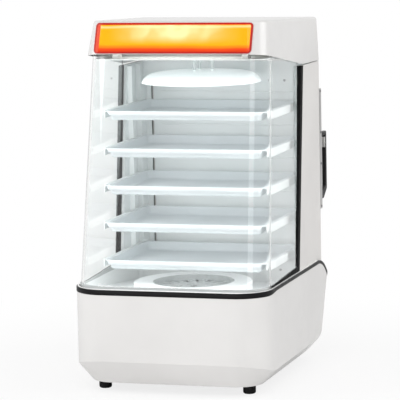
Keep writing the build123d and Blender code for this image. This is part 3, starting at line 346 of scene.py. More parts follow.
def tint_between(tree, factor, low, high, start=0.35, end=0.65):
    """Colour that runs from low to high with the factor."""
    ramp = tree.nodes.new("ShaderNodeValToRGB")
    for stop, level, color in zip(ramp.color_ramp.elements, (start, end), (low, high)):
        stop.position = level
        stop.color = solid(color)
    tree.links.new(factor, ramp.inputs["Fac"])
    return ramp.outputs["Color"]


def roughen(tree, shader, pattern, rough):
    """Lets the roughness follow a pattern between two values."""
    tree.links.new(remapped(tree, pattern, 0.3, 0.7, *rough), shader.inputs["Roughness"])


def relief(tree, height, strength, distance, shader):
    """Fine relief on the shader's normal."""
    bump = tree.nodes.new("ShaderNodeBump")
    set_inputs(bump, Strength=strength, Distance=distance)
    tree.links.new(height, bump.inputs["Height"])
    tree.links.new(bump.outputs["Normal"], shader.inputs["Normal"])


def reopened(tree):
    """Shader of a finish, its colour so far, and its object coordinates X, Y and Z."""
    shader = tree.nodes["Principled BSDF"]
    color = shader.inputs["Base Color"].links[0].from_socket
    return shader, color, parted(tree, tree.nodes["Texture Coordinate"].outputs["Object"])


def coated(name, color, rough=(0.28, 0.36), peel=900.0, coat=0.25, shine=0.5):
    """Sprayed or enamelled surface: faint clouding, orange peel and a clear top coat."""
    tree, shader, place = blank_finish(name)
    tint = tint_between(tree, cloud(tree, place, 6.0, 3.0), shaded(color, 0.97), shaded(color, 1.03))
    tree.links.new(tint, shader.inputs["Base Color"])
    roughen(tree, shader, cloud(tree, place, 40.0), rough)
    relief(tree, cloud(tree, place, peel, 2.0), 0.05, 0.12 * MM, shader)
    set_inputs(shader, Specular_IOR_Level=shine, Coat_Weight=coat, Coat_Roughness=0.12)
    return tree


def column_sheet(name, color, inner, wall_at):
    """Column sheet: satin paint outside and the chamber's cool enamel on its inner faces."""
    tree = coated(name, color, rough=(0.42, 0.52), coat=0.0)
    shader, painted, place = reopened(tree)
    outside = calculated(tree, "GREATER_THAN", calculated(tree, "ABSOLUTE", place["X"]), wall_at)
    tree.links.new(blended(tree, outside, solid(inner), painted), shader.inputs["Base Color"])


def dome_with_painted_glow(name, color, rod_color):
    """Opal dome with a faint painted glow under it, an emission that stands in for light with no lamp behind
    it, and dull rods above it.
    """
    tree = coated(name, color, rough=(0.4, 0.5), peel=700.0, coat=0.05)
    shader, opal, place = reopened(tree)
    rods = remapped(tree, place["Z"], DOME_TOP, DOME_TOP + 2.0 * MM)
    # Painted light: below its rods the dome emits a faint pale glow, though no lamp is inside it
    glow = tint_between(tree, rods, (0.94, 1.0, 1.0), (0.0, 0.0, 0.0), 0.0, 1.0)
    tree.links.new(blended(tree, rods, opal, solid(rod_color)), shader.inputs["Base Color"])
    tree.links.new(glow, shader.inputs["Emission Color"])
    set_inputs(shader, Emission_Strength=0.24)


def rubbery(name, color, rough=(0.6, 0.75), grain=1600.0):
    """Matt extruded rubber with a dusty bloom and a fine grain."""
    tree, shader, place = blank_finish(name)
    dust = tint_between(tree, cloud(tree, place, 24.0, 5.0), color, shaded(color, 2.2))
    tree.links.new(dust, shader.inputs["Base Color"])
    roughen(tree, shader, cloud(tree, place, 70.0), rough)
    relief(tree, cloud(tree, place, grain, 3.0), 0.12, 0.1 * MM, shader)
    set_inputs(shader, Specular_IOR_Level=0.08)
    return tree


def seal_bead(name, outer, inner):
    """Foot seal: black rubber along the outside of the side glass and a pale bead elsewhere."""
    tree = rubbery(name, outer)
    shader, black, place = reopened(tree)
    away = calculated(tree, "ABSOLUTE", place["X"])
    outside = remapped(tree, away, SEAL_MIDDLE, SEAL_MIDDLE + 0.4 * MM)
    behind = remapped(tree, place["Y"], FRONT + 50.0 * MM, FRONT + 70.0 * MM)
    dark = calculated(tree, "MULTIPLY", outside, behind)
    tree.links.new(blended(tree, dark, solid(inner), black), shader.inputs["Base Color"])


def moulded(name, color, rough=(0.28, 0.4), variation=0.12, shine=0.5):
    """Moulded plastic with a spark-eroded texture."""
    tree, shader, place = blank_finish(name)
    flow = cloud(tree, place, 16.0, 4.0)
    tint = tint_between(tree, flow, shaded(color, 1.0 - variation), shaded(color, 1.0 + variation))
    tree.links.new(tint, shader.inputs["Base Color"])
    roughen(tree, shader, cloud(tree, place, 90.0), rough)
    relief(tree, cloud(tree, place, 1300.0, 2.0), 0.08, 0.1 * MM, shader)
    set_inputs(shader, Specular_IOR_Level=shine)


def metallic(name, color, rough, stretch, grain=220.0, depth=0.06):
    """Bare metal with a drawn or brushed grain along one direction."""
    tree, shader, place = blank_finish(name)
    drawn = cloud(tree, place, grain, 4.0, stretch)
    tint = tint_between(tree, drawn, shaded(color, 0.9), shaded(color, 1.06))
    tree.links.new(tint, shader.inputs["Base Color"])
    roughen(tree, shader, drawn, rough)
    relief(tree, drawn, depth, 0.1 * MM, shader)
    set_inputs(shader, Metallic=1.0)


def clear_glass(name):
    """Bent sheet glass: clear, with the faintest haze of handling on it, and open to the lamps' light."""
    tree, shader, place = blank_finish(name)
    haze = cloud(tree, place, 9.0, 5.0)
    tint = tint_between(tree, haze, (0.965, 0.99, 0.985), (0.99, 0.998, 0.996))
    tree.links.new(tint, shader.inputs["Base Color"])
    roughen(tree, shader, haze, (0.0, 0.03))
    set_inputs(shader, Transmission_Weight=1.0, IOR=1.46)
    open_way = tree.nodes.new("ShaderNodeBsdfTransparent").outputs["BSDF"]
    shadow = seen_by(tree, "Is Shadow Ray")
    mix_surfaces(tree, shadow, shader.outputs["BSDF"], open_way, tree.nodes["Material Output"])


def lamp_tube(name):
    """White tube that glows behind the sign, a little dimmer towards its ends."""
    tree, shader, place = blank_finish(name)
    away = calculated(tree, "ABSOLUTE", parted(tree, place)["X"])
    ends = remapped(tree, away, TUBE_END - 21.0 * MM, TUBE_END)
    glow = tint_between(tree, ends, (1.0, 0.98, 0.93), (0.55, 0.50, 0.45), 0.1, 0.9)
    tree.links.new(glow, shader.inputs["Emission Color"])
    roughen(tree, shader, cloud(tree, place, 60.0), (0.2, 0.3))
    set_inputs(shader, Base_Color=(0.92, 0.92, 0.88, 1.0), Emission_Strength=3.0)


def sign_gradient(tree, height, low, middle, glow):
    """Colours of the sign from its red foot up to its pale top."""
    ramp = tree.nodes.new("ShaderNodeValToRGB")
    stops = ramp.color_ramp
    stops.interpolation = "EASE"
    stops.elements[0].position = 0.05
    stops.elements[0].color = solid(shaded(low, 0.75))
    stops.elements[1].position = 1.0
    stops.elements[1].color = solid(middle)
    orange = tuple((a + b) / 2 for a, b in zip(low, middle))
    pale = tuple((a + b) / 2 for a, b in zip(middle, glow))
    for level, color in ((0.13, low), (0.22, orange), (0.32, middle), (0.86, middle), (0.95, pale)):
        stops.elements.new(level).color = solid(color)
    tree.links.new(height, ramp.inputs["Fac"])
    return ramp.outputs["Color"]


def sign_face(name, low, middle, glow):
    """Lit sign: red along its foot, orange yellow above, and paler where the lamp stands behind it."""
    tree, shader, place = blank_finish(name)
    axes = parted(tree, place)
    height = remapped(tree, axes["Z"], SIGN_LOW.z, SIGN_HIGH.z)
    across = calculated(tree, "ABSOLUTE", axes["X"])
    waver = calculated(tree, "MULTIPLY_ADD", cloud(tree, place, 14.0, 2.0), 0.08, height)
    gradient = sign_gradient(tree, waver, low, middle, glow)
    centre = remapped(tree, across, 135.0 * MM, 20.0 * MM, high=0.80, eased_ends=True)
    above = remapped(tree, height, 0.24, 0.6, eased_ends=True)
    patches = remapped(tree, cloud(tree, place, 26.0, 1.0), 0.36, 0.62, 0.55, 1.0, eased_ends=True)
    share = calculated(tree, "MULTIPLY", calculated(tree, "MULTIPLY", centre, above), patches)
    lit = blended(tree, share, gradient, solid(glow))
    side = remapped(tree, across, SIGN_HIGH.x - 1.5 * MM, SIGN_HIGH.x - 0.9 * MM)
    top = remapped(tree, axes["Z"], SIGN_HIGH.z - 1.5 * MM, SIGN_HIGH.z - 0.9 * MM)
    border = calculated(tree, "MAXIMUM", side, top)
    edged = blended(tree, border, lit, solid(shaded(low, 0.8)))
    tree.links.new(edged, shader.inputs["Base Color"])
    tree.links.new(edged, shader.inputs["Emission Color"])
    roughen(tree, shader, cloud(tree, place, 30.0), (0.10, 0.18))
    set_inputs(
        shader, Emission_Strength=0.22, Specular_IOR_Level=0.05, Coat_Weight=0.3, Coat_Roughness=0.02,
    )


def make_finishes(context):
    """Makes all the materials by name, once."""
    if bpy.data.materials.get("base paint"):
        return
    colors = settings(context)[0]
    rubber, liner, column = tuple(colors.rubber), tuple(colors.liner_enamel), tuple(colors.column_paint)
    coated("base paint", tuple(colors.base_paint), coat=0.35)
    coated("column paint", column, rough=(0.34, 0.44), coat=0.15)
    column_sheet("jamb sheet", column, liner, JAMB_INNER + 6.0 * MM)
    coated("liner enamel", liner, rough=(0.5, 0.6), peel=500.0, coat=0.0)
    coated("tray enamel", tuple(colors.tray_enamel), rough=(0.42, 0.52), peel=500.0, coat=0.08)
    coated("pan enamel", (0.93, 0.95, 0.95), rough=(0.5, 0.6), peel=500.0, coat=0.0, shine=0.2)
    coated("disc enamel", (0.62, 0.65, 0.65), rough=(0.24, 0.34), peel=500.0, coat=0.4)
    dome_with_painted_glow("dome enamel with painted glow", (0.90, 0.94, 0.95), (0.58, 0.62, 0.62))
    coated("lamp holder plastic", (0.80, 0.80, 0.78), rough=(0.3, 0.4), peel=1200.0, coat=0.0)
    rubbery("black rubber", rubber)
    seal_bead("seal bead", rubber, (0.52, 0.54, 0.54))
    rubbery("edge bond", (0.004, 0.004, 0.0045), (0.8, 0.9))
    rubbery("foot rubber", shaded(rubber, 1.6), (0.55, 0.7), 900.0)
    moulded("trim plastic", (0.005, 0.005, 0.0055), (0.34, 0.46), shine=0.12)
    moulded("control plastic", (0.018, 0.018, 0.02), (0.3, 0.45))
    moulded("handle plastic", (0.006, 0.006, 0.0065), (0.3, 0.42), shine=0.2)
    moulded("magnet black", (0.03, 0.03, 0.032), (0.5, 0.65))
    moulded("sign border red", (0.46, 0.014, 0.007), (0.3, 0.4), shine=0.2)
    moulded("lever red", (0.45, 0.03, 0.02), (0.3, 0.4))
    moulded("mark grey", (0.10, 0.10, 0.105), (0.4, 0.5))
    moulded("mark white", (0.80, 0.80, 0.78), (0.4, 0.5), variation=0.04)
    moulded("amber lens", (0.75, 0.16, 0.02), (0.1, 0.18))
    lamp_tube("lamp tube")
    metallic("satin steel", (0.60, 0.60, 0.59), (0.26, 0.38), (1.0, 1.0, 0.06))
    metallic("bright steel", (0.78, 0.78, 0.77), (0.10, 0.2), (0.2, 1.0, 1.0), depth=0.03)
    metallic("ledge steel", (0.93, 0.93, 0.92), (0.45, 0.56), (1.0, 1.0, 1.0), depth=0.03)
    metallic("dark steel", (0.16, 0.16, 0.165), (0.3, 0.42), (1.0, 1.0, 1.0), 300.0)
    metallic("boiler steel", (0.52, 0.52, 0.51), (0.3, 0.45), (1.0, 1.0, 0.1))
    metallic("plate zinc", (0.50, 0.51, 0.51), (0.38, 0.52), (1.0, 1.0, 1.0), 60.0)
    metallic("cock brass", (0.72, 0.50, 0.20), (0.16, 0.28), (1.0, 0.3, 1.0))
    clear_glass("bent glass")
    sign_face("sign face", tuple(colors.sign_low), tuple(colors.sign_middle), tuple(colors.sign_glow))


def paint(finish, *nodes):
    """Gives carried-over CAD nodes their material."""
    material = bpy.data.materials[finish]
    for name in nodes:
        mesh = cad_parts[name].data
        mesh.materials.clear()
        mesh.materials.append(material)


# Shapes


def linked(name, mesh):
    """New object with this mesh, in the scene."""
    piece = bpy.data.objects.new(name, mesh)
    bpy.context.scene.collection.objects.link(piece)
    return piece


def finished(name, shape):
    """New object from an edited shape, which is freed."""
    mesh = bpy.data.meshes.new(name)
    shape.to_mesh(mesh)
    shape.free()
    return linked(name, mesh)


def merged_shape(node):
    """Editable copy of a CAD node, with shared vertices."""
    shape = bmesh.new()
    shape.from_mesh(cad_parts[node].data)
    bmesh.ops.remove_doubles(shape, verts=shape.verts, dist=MERGE_REACH)
    return shape


def merged_copy(name, node):
    """Closed copy of a CAD node, with shared vertices and whole flat faces."""
    shape = merged_shape(node)
    bmesh.ops.dissolve_limit(
        shape, angle_limit=math.radians(0.6), verts=shape.verts, edges=shape.edges, delimit={"NORMAL"},
    )
    bmesh.ops.recalc_face_normals(shape, faces=shape.faces)
    return finished(name, shape)


def settle(piece, smooth_angle):
    """Turns a piece with modifiers into its plain mesh, smooth up to an angle."""
    evaluated = piece.evaluated_get(bpy.context.evaluated_depsgraph_get())
    mesh = bpy.data.meshes.new_from_object(evaluated)
    piece.modifiers.clear()
    piece.data = mesh
    mesh.shade_smooth()
    mesh.set_sharp_from_angle(angle=smooth_angle)
    return piece


def round_edges(piece, radius, steps=3):
    """Rounds the sharp edges of a piece and smooths the rest."""
    bevel = piece.modifiers.new("Rounded edges", "BEVEL")
    bevel.width = radius
    bevel.segments = steps
    bevel.limit_method = "ANGLE"
    bevel.angle_limit = SMOOTH_ANGLE
    bevel.harden_normals = False
    return settle(piece, SMOOTH_ANGLE)


def dress(piece, finish, body, *nodes):
    """Material, body and the CAD nodes that the piece stands for."""
    if finish:
        piece.data.materials.clear()
        piece.data.materials.append(bpy.data.materials[finish])
    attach(piece, body)
    if nodes:
        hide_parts(*nodes)


def turned_corner(point, before, after, radius, steps):
    """Points of the arc that rounds a corner between two directions that lead away from it."""
    half = before.angle(after) / 2
    centre = point + (before + after).normalized() * (radius / math.sin(half))
    start = point + before * (radius / math.tan(half)) - centre
    end = point + after * (radius / math.tan(half)) - centre
    swing = start.angle_signed(end)
    return [centre + Matrix.Rotation(-swing * step / steps, 2) @ start for step in range(steps + 1)]


def rounded_box(half, near, far, radius, steps):
    """Closed plan outline with four rounded corners, from the front's middle round to the right."""
    loop = []
    corners = (
        (Vector((half, near)), Vector((-1, 0)), Vector((0, 1))),
        (Vector((half, far)), Vector((0, -1)), Vector((-1, 0))),
        (Vector((-half, far)), Vector((1, 0)), Vector((0, -1))),
        (Vector((-half, near)), Vector((0, 1)), Vector((1, 0))),
    )
    for point, before, after in corners:
        loop.extend(turned_corner(point, before, after, radius, steps))
    return loop


def skinned(name, rings, smooth_angle):
    """Smooth mesh between closed rings of points, with its two ends filled."""
    shape = bmesh.new()
    rows = [[shape.verts.new(point) for point in ring] for ring in rings]
    for low, high in zip(rows, rows[1:]):
        count = len(low)
        for place in range(count):
            after = (place + 1) % count
            shape.faces.new((low[place], low[after], high[after], high[place]))
    shape.faces.new(rows[0])
    shape.faces.new(rows[-1])
    bmesh.ops.recalc_face_normals(shape, faces=shape.faces)
    piece = finished(name, shape)
    piece.data.shade_smooth()
    piece.data.set_sharp_from_angle(angle=smooth_angle)
    return piece


# Lines of the glass, as depths behind the base's front: where its sides have their rear width, its rear
# edge at the rim, which leans back, and where its head is highest, from which it falls rearwards
SIDE_REACH = 422.0 * MM
REAR_EDGE = 261.05 * MM
REAR_EDGE_LEAN = 0.126
HEAD_SETBACK = 83.0 * MM
HEAD_TOP = 638.0 * MM
HEAD_FALL = 0.14575
FOOT_GAP = 1.5 * MM
BEND_STEPS, SIDE_STEPS, FRONT_STEPS, GLASS_ROWS = 24, 12, 16, 10


def glass_wall(glass, level, grow):
    """Plan of one face of the glass at one height, from its left rear edge round to the right one."""
    rise = (level - RIM_TOP) / (glass.head_level - RIM_TOP)
    near = FRONT + glass.foot_setback + rise * (glass.head_setback - glass.foot_setback) - grow
    half = glass.foot_half + rise * (glass.head_half - glass.foot_half) + grow
    half_rear = glass.foot_half + rise * (glass.head_half_rear - glass.foot_half) + grow
    radius = glass.foot_corner + rise * (glass.head_corner - glass.foot_corner) + grow
    far = FRONT + SIDE_REACH
    end = FRONT + REAR_EDGE + (level - RIM_TOP) * REAR_EDGE_LEAN
    along = Vector((half_rear - half, far - near)).normalized()
    arc = turned_corner(Vector((half, near)), Vector((-1, 0)), along, radius, BEND_STEPS)
    tail = Vector((half + (half_rear - half) * (end - near) / (far - near), end))
    right = arc + [arc[-1].lerp(tail, step / SIDE_STEPS) for step in range(1, SIDE_STEPS + 1)]
    left = [Vector((-point.x, point.y)) for point in reversed(right)]
    flat = [left[-1].lerp(right[0], step / FRONT_STEPS) for step in range(1, FRONT_STEPS)]
    return left + flat + right


def glass_face(glass, grow):
    """Grid of points over one face of the glass, from its foot up to its head, which falls rearwards."""
    foot = RIM_TOP + FOOT_GAP
    heads = [point.y for point in glass_wall(glass, glass.head_level, grow)]
    for _ in range(5):
        tops = [HEAD_TOP - HEAD_FALL * (y - FRONT - HEAD_SETBACK) for y in heads]
        heads = [glass_wall(glass, top, grow)[place].y for place, top in enumerate(tops)]
    grid = []
    for place, top in enumerate(tops):
        column = []
        for row in range(GLASS_ROWS + 1):
            level = foot + (top - foot) * row / GLASS_ROWS
            point = glass_wall(glass, level, grow)[place]
            column.append(Vector((point.x, point.y, level)))
        grid.append(column)
    return grid


def bent_sheet(name, glass):
    """The bent glass as one smooth closed sheet."""
    outer = glass_face(glass, 0.0)
    inner = glass_face(glass, -glass.thickness)
    rings = [column_out + list(reversed(column_in)) for column_out, column_in in zip(outer, inner)]
    return skinned(name, rings, SMOOTH_ANGLE)


def eased(value, low, high):
    """Smooth step from 0 at low to 1 at high."""
    share = min(1.0, max(0.0, (value - low) / (high - low)))
    return share * share * (3 - 2 * share)


# Section of a tray in millimetres: distance in from its edge, height, and 1 where it hangs with the lip
TRAY_CORNER = 19.0 * MM
LEAST_CORNER = 3.0 * MM
TRAY_SECTION = (
    (26.0, 1.2, 0), (16.0, 1.2, 0), (13.4, 1.45, 0), (11.9, 2.5, 0), (11.2, 4.4, 0), (8.7, 16.4, 0),
    (8.2, 17.5, 0), (7.2, 18.0, 0), (4.0, 18.0, 0), (1.7, 18.1, 0), (0.75, 17.9, 0), (0.15, 17.2, 0),
    (0.0, 16.4, 0), (0.0, 16.2, 1), (0.35, 15.9, 1), (1.0, 15.9, 1), (1.3, 16.2, 1), (1.4, 16.6, 0),
    (2.2, 16.8, 0), (6.4, 16.8, 0), (7.3, 16.1, 0), (9.9, 3.6, 0), (10.6, 1.1, 0), (12.4, 0.15, 0),
    (16.0, 0.0, 0), (26.0, 0.0, 0),
)


def pressed_tray(name, node, lip):
    """Pressed sheet tray: rounded floor corners, a flat flange and a turned-down lip along the front."""
    low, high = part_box(node)
    rings = []
    for inset, rise, hangs in TRAY_SECTION:
        gap = inset * MM
        radius = max(TRAY_CORNER - gap, LEAST_CORNER)
        ring = []
        for point in rounded_box(high.x - gap, low.y + gap, high.y - gap, radius, 10):
            drop = lip * (1.0 - eased(point.y - low.y, 1.5 * MM, 6.0 * MM)) * hangs
            ring.append(Vector((point.x, point.y, low.z + rise * MM - drop)))
        rings.append(ring)
    return skinned(name, rings, math.radians(60))


# Repeated pieces


def new_tree(name, *sizes):
    """Geometry node tree with a mesh, named sizes and a material as its inputs."""
    tree = bpy.data.node_groups.new(name, "GeometryNodeTree")
    face = tree.interface
    face.new_socket("Start", in_out="INPUT", socket_type="NodeSocketGeometry")
    for label in sizes:
        face.new_socket(label, in_out="INPUT", socket_type="NodeSocketFloat")
    face.new_socket("Finish", in_out="INPUT", socket_type="NodeSocketMaterial")
    face.new_socket("Result", in_out="OUTPUT", socket_type="NodeSocketGeometry")
    return tree, tree.nodes.new("NodeGroupInput"), tree.nodes.new("NodeGroupOutput")


def joined(tree, kind, source, target_input=0, **values):
    """New node of this kind after a source socket."""
    node = tree.nodes.new(kind)
    set_inputs(node, **values)
    if source is not None:
        tree.links.new(source, node.inputs[target_input])
    return node


def end_tree(tree, given, out, result):
    """Makes real meshes of the copies and gives them their material."""
    real = joined(tree, "GeometryNodeRealizeInstances", result)
    coat = joined(tree, "GeometryNodeSetMaterial", real.outputs["Geometry"])
    tree.links.new(given.outputs["Finish"], coat.inputs["Material"])
    tree.links.new(coat.outputs["Geometry"], out.inputs["Result"])
    return tree


def facing(tree, label, axis, rotation=None):
    """Rotation that turns one axis along a named direction of each point."""
    read = tree.nodes.new("GeometryNodeInputNamedAttribute")
    read.data_type = "FLOAT_VECTOR"
    read.inputs["Name"].default_value = label
    turn = tree.nodes.new("FunctionNodeAlignRotationToVector")
    turn.axis = axis
    if rotation is not None:
        turn.pivot_axis = "Z"
        tree.links.new(rotation, turn.inputs["Rotation"])
    tree.links.new(read.outputs["Attribute"], turn.inputs["Vector"])
    return turn.outputs["Rotation"]


def screw_tree():
    """Domed screw heads with a cross recess, one on each point."""
    if "Screw heads" in bpy.data.node_groups:
        return bpy.data.node_groups["Screw heads"]
    tree, given, out = new_tree("Screw heads", "Radius")
    ball = joined(tree, "GeometryNodeMeshUVSphere", None, Segments=28, Rings=14, Radius=1.0)
    head = joined(tree, "GeometryNodeTransform", ball.outputs["Mesh"], Scale=(1.0, 1.0, 0.46))
    cut = tree.nodes.new("GeometryNodeMeshBoolean")
    cut.operation = "DIFFERENCE"
    tree.links.new(head.outputs["Geometry"], cut.inputs["Mesh 1"])
    for size in ((1.15, 0.22, 0.6), (0.22, 1.15, 0.6)):
        bar = joined(tree, "GeometryNodeMeshCube", None, Size=size)
        raised = joined(tree, "GeometryNodeTransform", bar.outputs["Mesh"], Translation=(0.0, 0.0, 0.5))
        tree.links.new(raised.outputs["Geometry"], cut.inputs["Mesh 2"])
    copies = joined(tree, "GeometryNodeInstanceOnPoints", given.outputs["Start"])
    tree.links.new(cut.outputs["Mesh"], copies.inputs["Instance"])
    tree.links.new(facing(tree, "facing", "Z"), copies.inputs["Rotation"])
    tree.links.new(given.outputs["Radius"], copies.inputs["Scale"])
    return end_tree(tree, given, out, copies.outputs["Instances"])


def lip_tree():
    """Round lip along every edge line of the start mesh."""
    if "Rolled lip" in bpy.data.node_groups:
        return bpy.data.node_groups["Rolled lip"]
    tree, given, out = new_tree("Rolled lip", "Radius")
    line = joined(tree, "GeometryNodeMeshToCurve", given.outputs["Start"])
    ring = joined(tree, "GeometryNodeCurvePrimitiveCircle", given.outputs["Radius"], "Radius", Resolution=8)
    bead = joined(tree, "GeometryNodeCurveToMesh", line.outputs["Curve"])
    tree.links.new(ring.outputs["Curve"], bead.inputs["Profile Curve"])
    return end_tree(tree, given, out, bead.outputs["Mesh"])


def tick_tree():
    """Short raised marks, one on each point, pointing along it."""
    if "Scale marks" in bpy.data.node_groups:
        return bpy.data.node_groups["Scale marks"]
    tree, given, out = new_tree("Scale marks", "Length")
    bar = joined(tree, "GeometryNodeMeshCube", None, Size=(1.0, 0.26, 0.10))
    copies = joined(tree, "GeometryNodeInstanceOnPoints", given.outputs["Start"])
    tree.links.new(bar.outputs["Mesh"], copies.inputs["Instance"])
    turned = facing(tree, "along", "X", facing(tree, "facing", "Z"))
    tree.links.new(turned, copies.inputs["Rotation"])
    tree.links.new(given.outputs["Length"], copies.inputs["Scale"])
    return end_tree(tree, given, out, copies.outputs["Instances"])


def made_by(tree, name, points, size, finish, edges=(), **directions):
    """Plain mesh that a tree makes from points, and from directions held on them."""
    mesh = bpy.data.meshes.new(name)
    mesh.from_pydata(points, edges, [])
    for label, vectors in directions.items():
        held = mesh.attributes.new(label, "FLOAT_VECTOR", "POINT")
        for place, vector in enumerate(vectors):
            held.data[place].vector = vector
    piece = linked(name, mesh)
    step = piece.modifiers.new(tree.name, "NODES")
    step.node_group = tree
    ids = {item.name: item.identifier for item in tree.interface.items_tree if item.in_out == "INPUT"}
    label = "Radius" if "Radius" in ids else "Length"
    step[ids[label]] = size
    step[ids["Finish"]] = bpy.data.materials[finish]
    return settle(piece, math.radians(35))


def screw_boxes(node):
    """Lowest and highest corner of each screw of a CAD node."""
    shape = merged_shape(node)
    left = set(shape.verts)
    found = []
    while left:
        group, stack = set(), [next(iter(left))]
        while stack:
            corner = stack.pop()
            if corner in group:
                continue
            group.add(corner)
            stack.extend(edge.other_vert(corner) for edge in corner.link_edges)
        left -= group
        points = [corner.co for corner in group]
        low = Vector(min(point[axis] for point in points) for axis in range(3))
        high = Vector(max(point[axis] for point in points) for axis in range(3))
        found.append((low, high))
    shape.free()
    return found


# Height of the screw heads over their seats
HEAD_HEIGHT = 1.2 * MM


def screw_heads(name, node, toward, radius, body):
    """Cross-recessed heads in the place of a node's plain ones."""
    seats = []
    for low, high in screw_boxes(node):
        seat = (low + high) / 2
        axis = max(range(3), key=lambda place: abs(toward[place]))
        seat[axis] = high[axis] - HEAD_HEIGHT if toward[axis] > 0 else low[axis] + HEAD_HEIGHT
        seats.append(seat)
    piece = made_by(screw_tree(), name, seats, radius, "dark steel", facing=[toward] * len(seats))
    dress(piece, None, body, node)


def small_plate(name, low, high, radius):
    """Thin plate with rounded edges between two corners."""
    shape = bmesh.new()
    bmesh.ops.create_cube(shape, size=1.0)
    for corner in shape.verts:
        corner.co = Vector(low[axis] if corner.co[axis] < 0 else high[axis] for axis in range(3))
    return round_edges(finished(name, shape), radius)


# Steam slots: their number, place, size, the level of their lips and the steps round each end
SLOTS = 18
SLOT_INSET = 17.5 * MM
SLOT_HALF_LENGTH = 9.5 * MM
SLOT_END = 3.5 * MM
SLOT_LEVEL = 1.7 * MM
END_STEPS = 8


def slot_outlines(disc_low, disc_high):
    """Edges of the radial steam slots in the round disc, as closed lines."""
    middle = (disc_low + disc_high) / 2
    slot_middle = (disc_high.x - disc_low.x) / 2 - SLOT_INSET
    points, lines = [], []
    for slot in range(SLOTS):
        turn = Matrix.Rotation(math.tau * slot / SLOTS, 2)
        start = len(points)
        for end, first in ((1, -90), (-1, 90)):
            centre = Vector((slot_middle + end * SLOT_HALF_LENGTH, 0.0))
            for step in range(END_STEPS + 1):
                angle = math.radians(first + 180 * step / END_STEPS)
                spot = turn @ (centre + SLOT_END * Vector((math.cos(angle), math.sin(angle))))
                points.append((middle.x + spot.x, middle.y + spot.y, disc_low.z + SLOT_LEVEL))
        count = len(points) - start
        lines.extend((start + step, start + (step + 1) % count) for step in range(count))
    return points, lines


class STEAMER_OT_base(bpy.types.Operator):
    """Paint the base housing and finish its floor plate, feet, boiler and drain"""

    bl_idname = "steamer.base"
    bl_label = "Finish the Base"

    def execute(self, context):
        make_finishes(context)
        paint("base paint", "base_housing")
        paint("plate zinc", "base_bottom_plate")
        paint("foot rubber", "feet")
        paint("boiler steel", "boiler_vessel", "heater_element", "drain_pipe")
        paint("cock brass", "drain_cock")
        paint("lever red", "drain_lever")
        paint("pan enamel", "chamber_pan", "steam_cover")
        paint("disc enamel", "steam_diffuser")
        paint("ledge steel", "ledge_strip")
        hardware = settings(context)[2]
        points, lines = slot_outlines(*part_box("steam_diffuser"))
        lips = made_by(lip_tree(), "slot_lips", points, hardware.slot_lip, "disc enamel", lines)
        dress(lips, None, "steam_outlet")
        screw_heads("pan_screw_heads", "pan_screws", Vector((0, -1, 0)), hardware.screw_radius, "base")
        return {"FINISHED"}


class STEAMER_OT_trim(bpy.types.Operator):
    """Round the black trim along the base's rim"""

    bl_idname = "steamer.trim"
    bl_label = "Round the Rim Trim"

    def execute(self, context):
        make_finishes(context)
        trim = round_edges(merged_copy("rounded_trim", "rim_trim"), settings(context)[2].trim_round)
        dress(trim, "trim plastic", "base", "rim_trim")
        return {"FINISHED"}


class STEAMER_OT_glazing(bpy.types.Operator):
    """Finish the bent glass, its seal and the gaskets"""

    bl_idname = "steamer.glazing"
    bl_label = "Finish the Glass and Gaskets"

    def execute(self, context):
        make_finishes(context)
        glass = bent_sheet("bent_glass", settings(context)[1])
        dress(glass, "bent glass", "base", "glass_shroud")
        glass.data.materials.append(bpy.data.materials["edge bond"])
        for face in glass.data.polygons:
            if len(face.vertices) > 4:
                face.material_index = 1
        paint("seal bead", "glass_seal")
        paint("black rubber", "gasket_left", "gasket_right")
        return {"FINISHED"}


class STEAMER_OT_column(bpy.types.Operator):
    """Paint the rear column and finish the racks"""

    bl_idname = "steamer.column"
    bl_label = "Finish the Column and Racks"

    def execute(self, context):
        make_finishes(context)
        paint("jamb sheet", "jamb_left", "jamb_right")
        paint("liner enamel", "rear_sill", "rear_header", "rack_left", "rack_right")
        hardware = settings(context)[2]
        screw_heads("header_screw_heads", "header_screws", Vector((0, -1, 0)), hardware.screw_radius, "base")
        return {"FINISHED"}


class STEAMER_OT_hood(bpy.types.Operator):
    """Paint the hood, the ceiling and its dome, and light the sign"""

    bl_idname = "steamer.hood"
    bl_label = "Finish the Hood and Sign"

    def execute(self, context):
        make_finishes(context)
        paint("base paint", "hood_shell")
        paint("liner enamel", "ceiling_panel")
        paint("dome enamel with painted glow", "ceiling_dome")
        paint("sign face", "sign_panel")
        paint("sign border red", "sign_frame")
        paint("lamp tube", "sign_lamp")
        paint("lamp holder plastic", "lamp_holders")
        return {"FINISHED"}


class STEAMER_OT_trays(bpy.types.Operator):
    """Finish the five trays"""

    bl_idname = "steamer.trays"
    bl_label = "Finish the Trays"

    def execute(self, context):
        make_finishes(context)
        lip = settings(context)[2].tray_lip
        for number in TRAYS:
            tray = pressed_tray(f"pressed_tray_{number}", f"tray_{number}", lip)
            dress(tray, "tray enamel", f"shelf_{number}", f"tray_{number}")
        return {"FINISHED"}


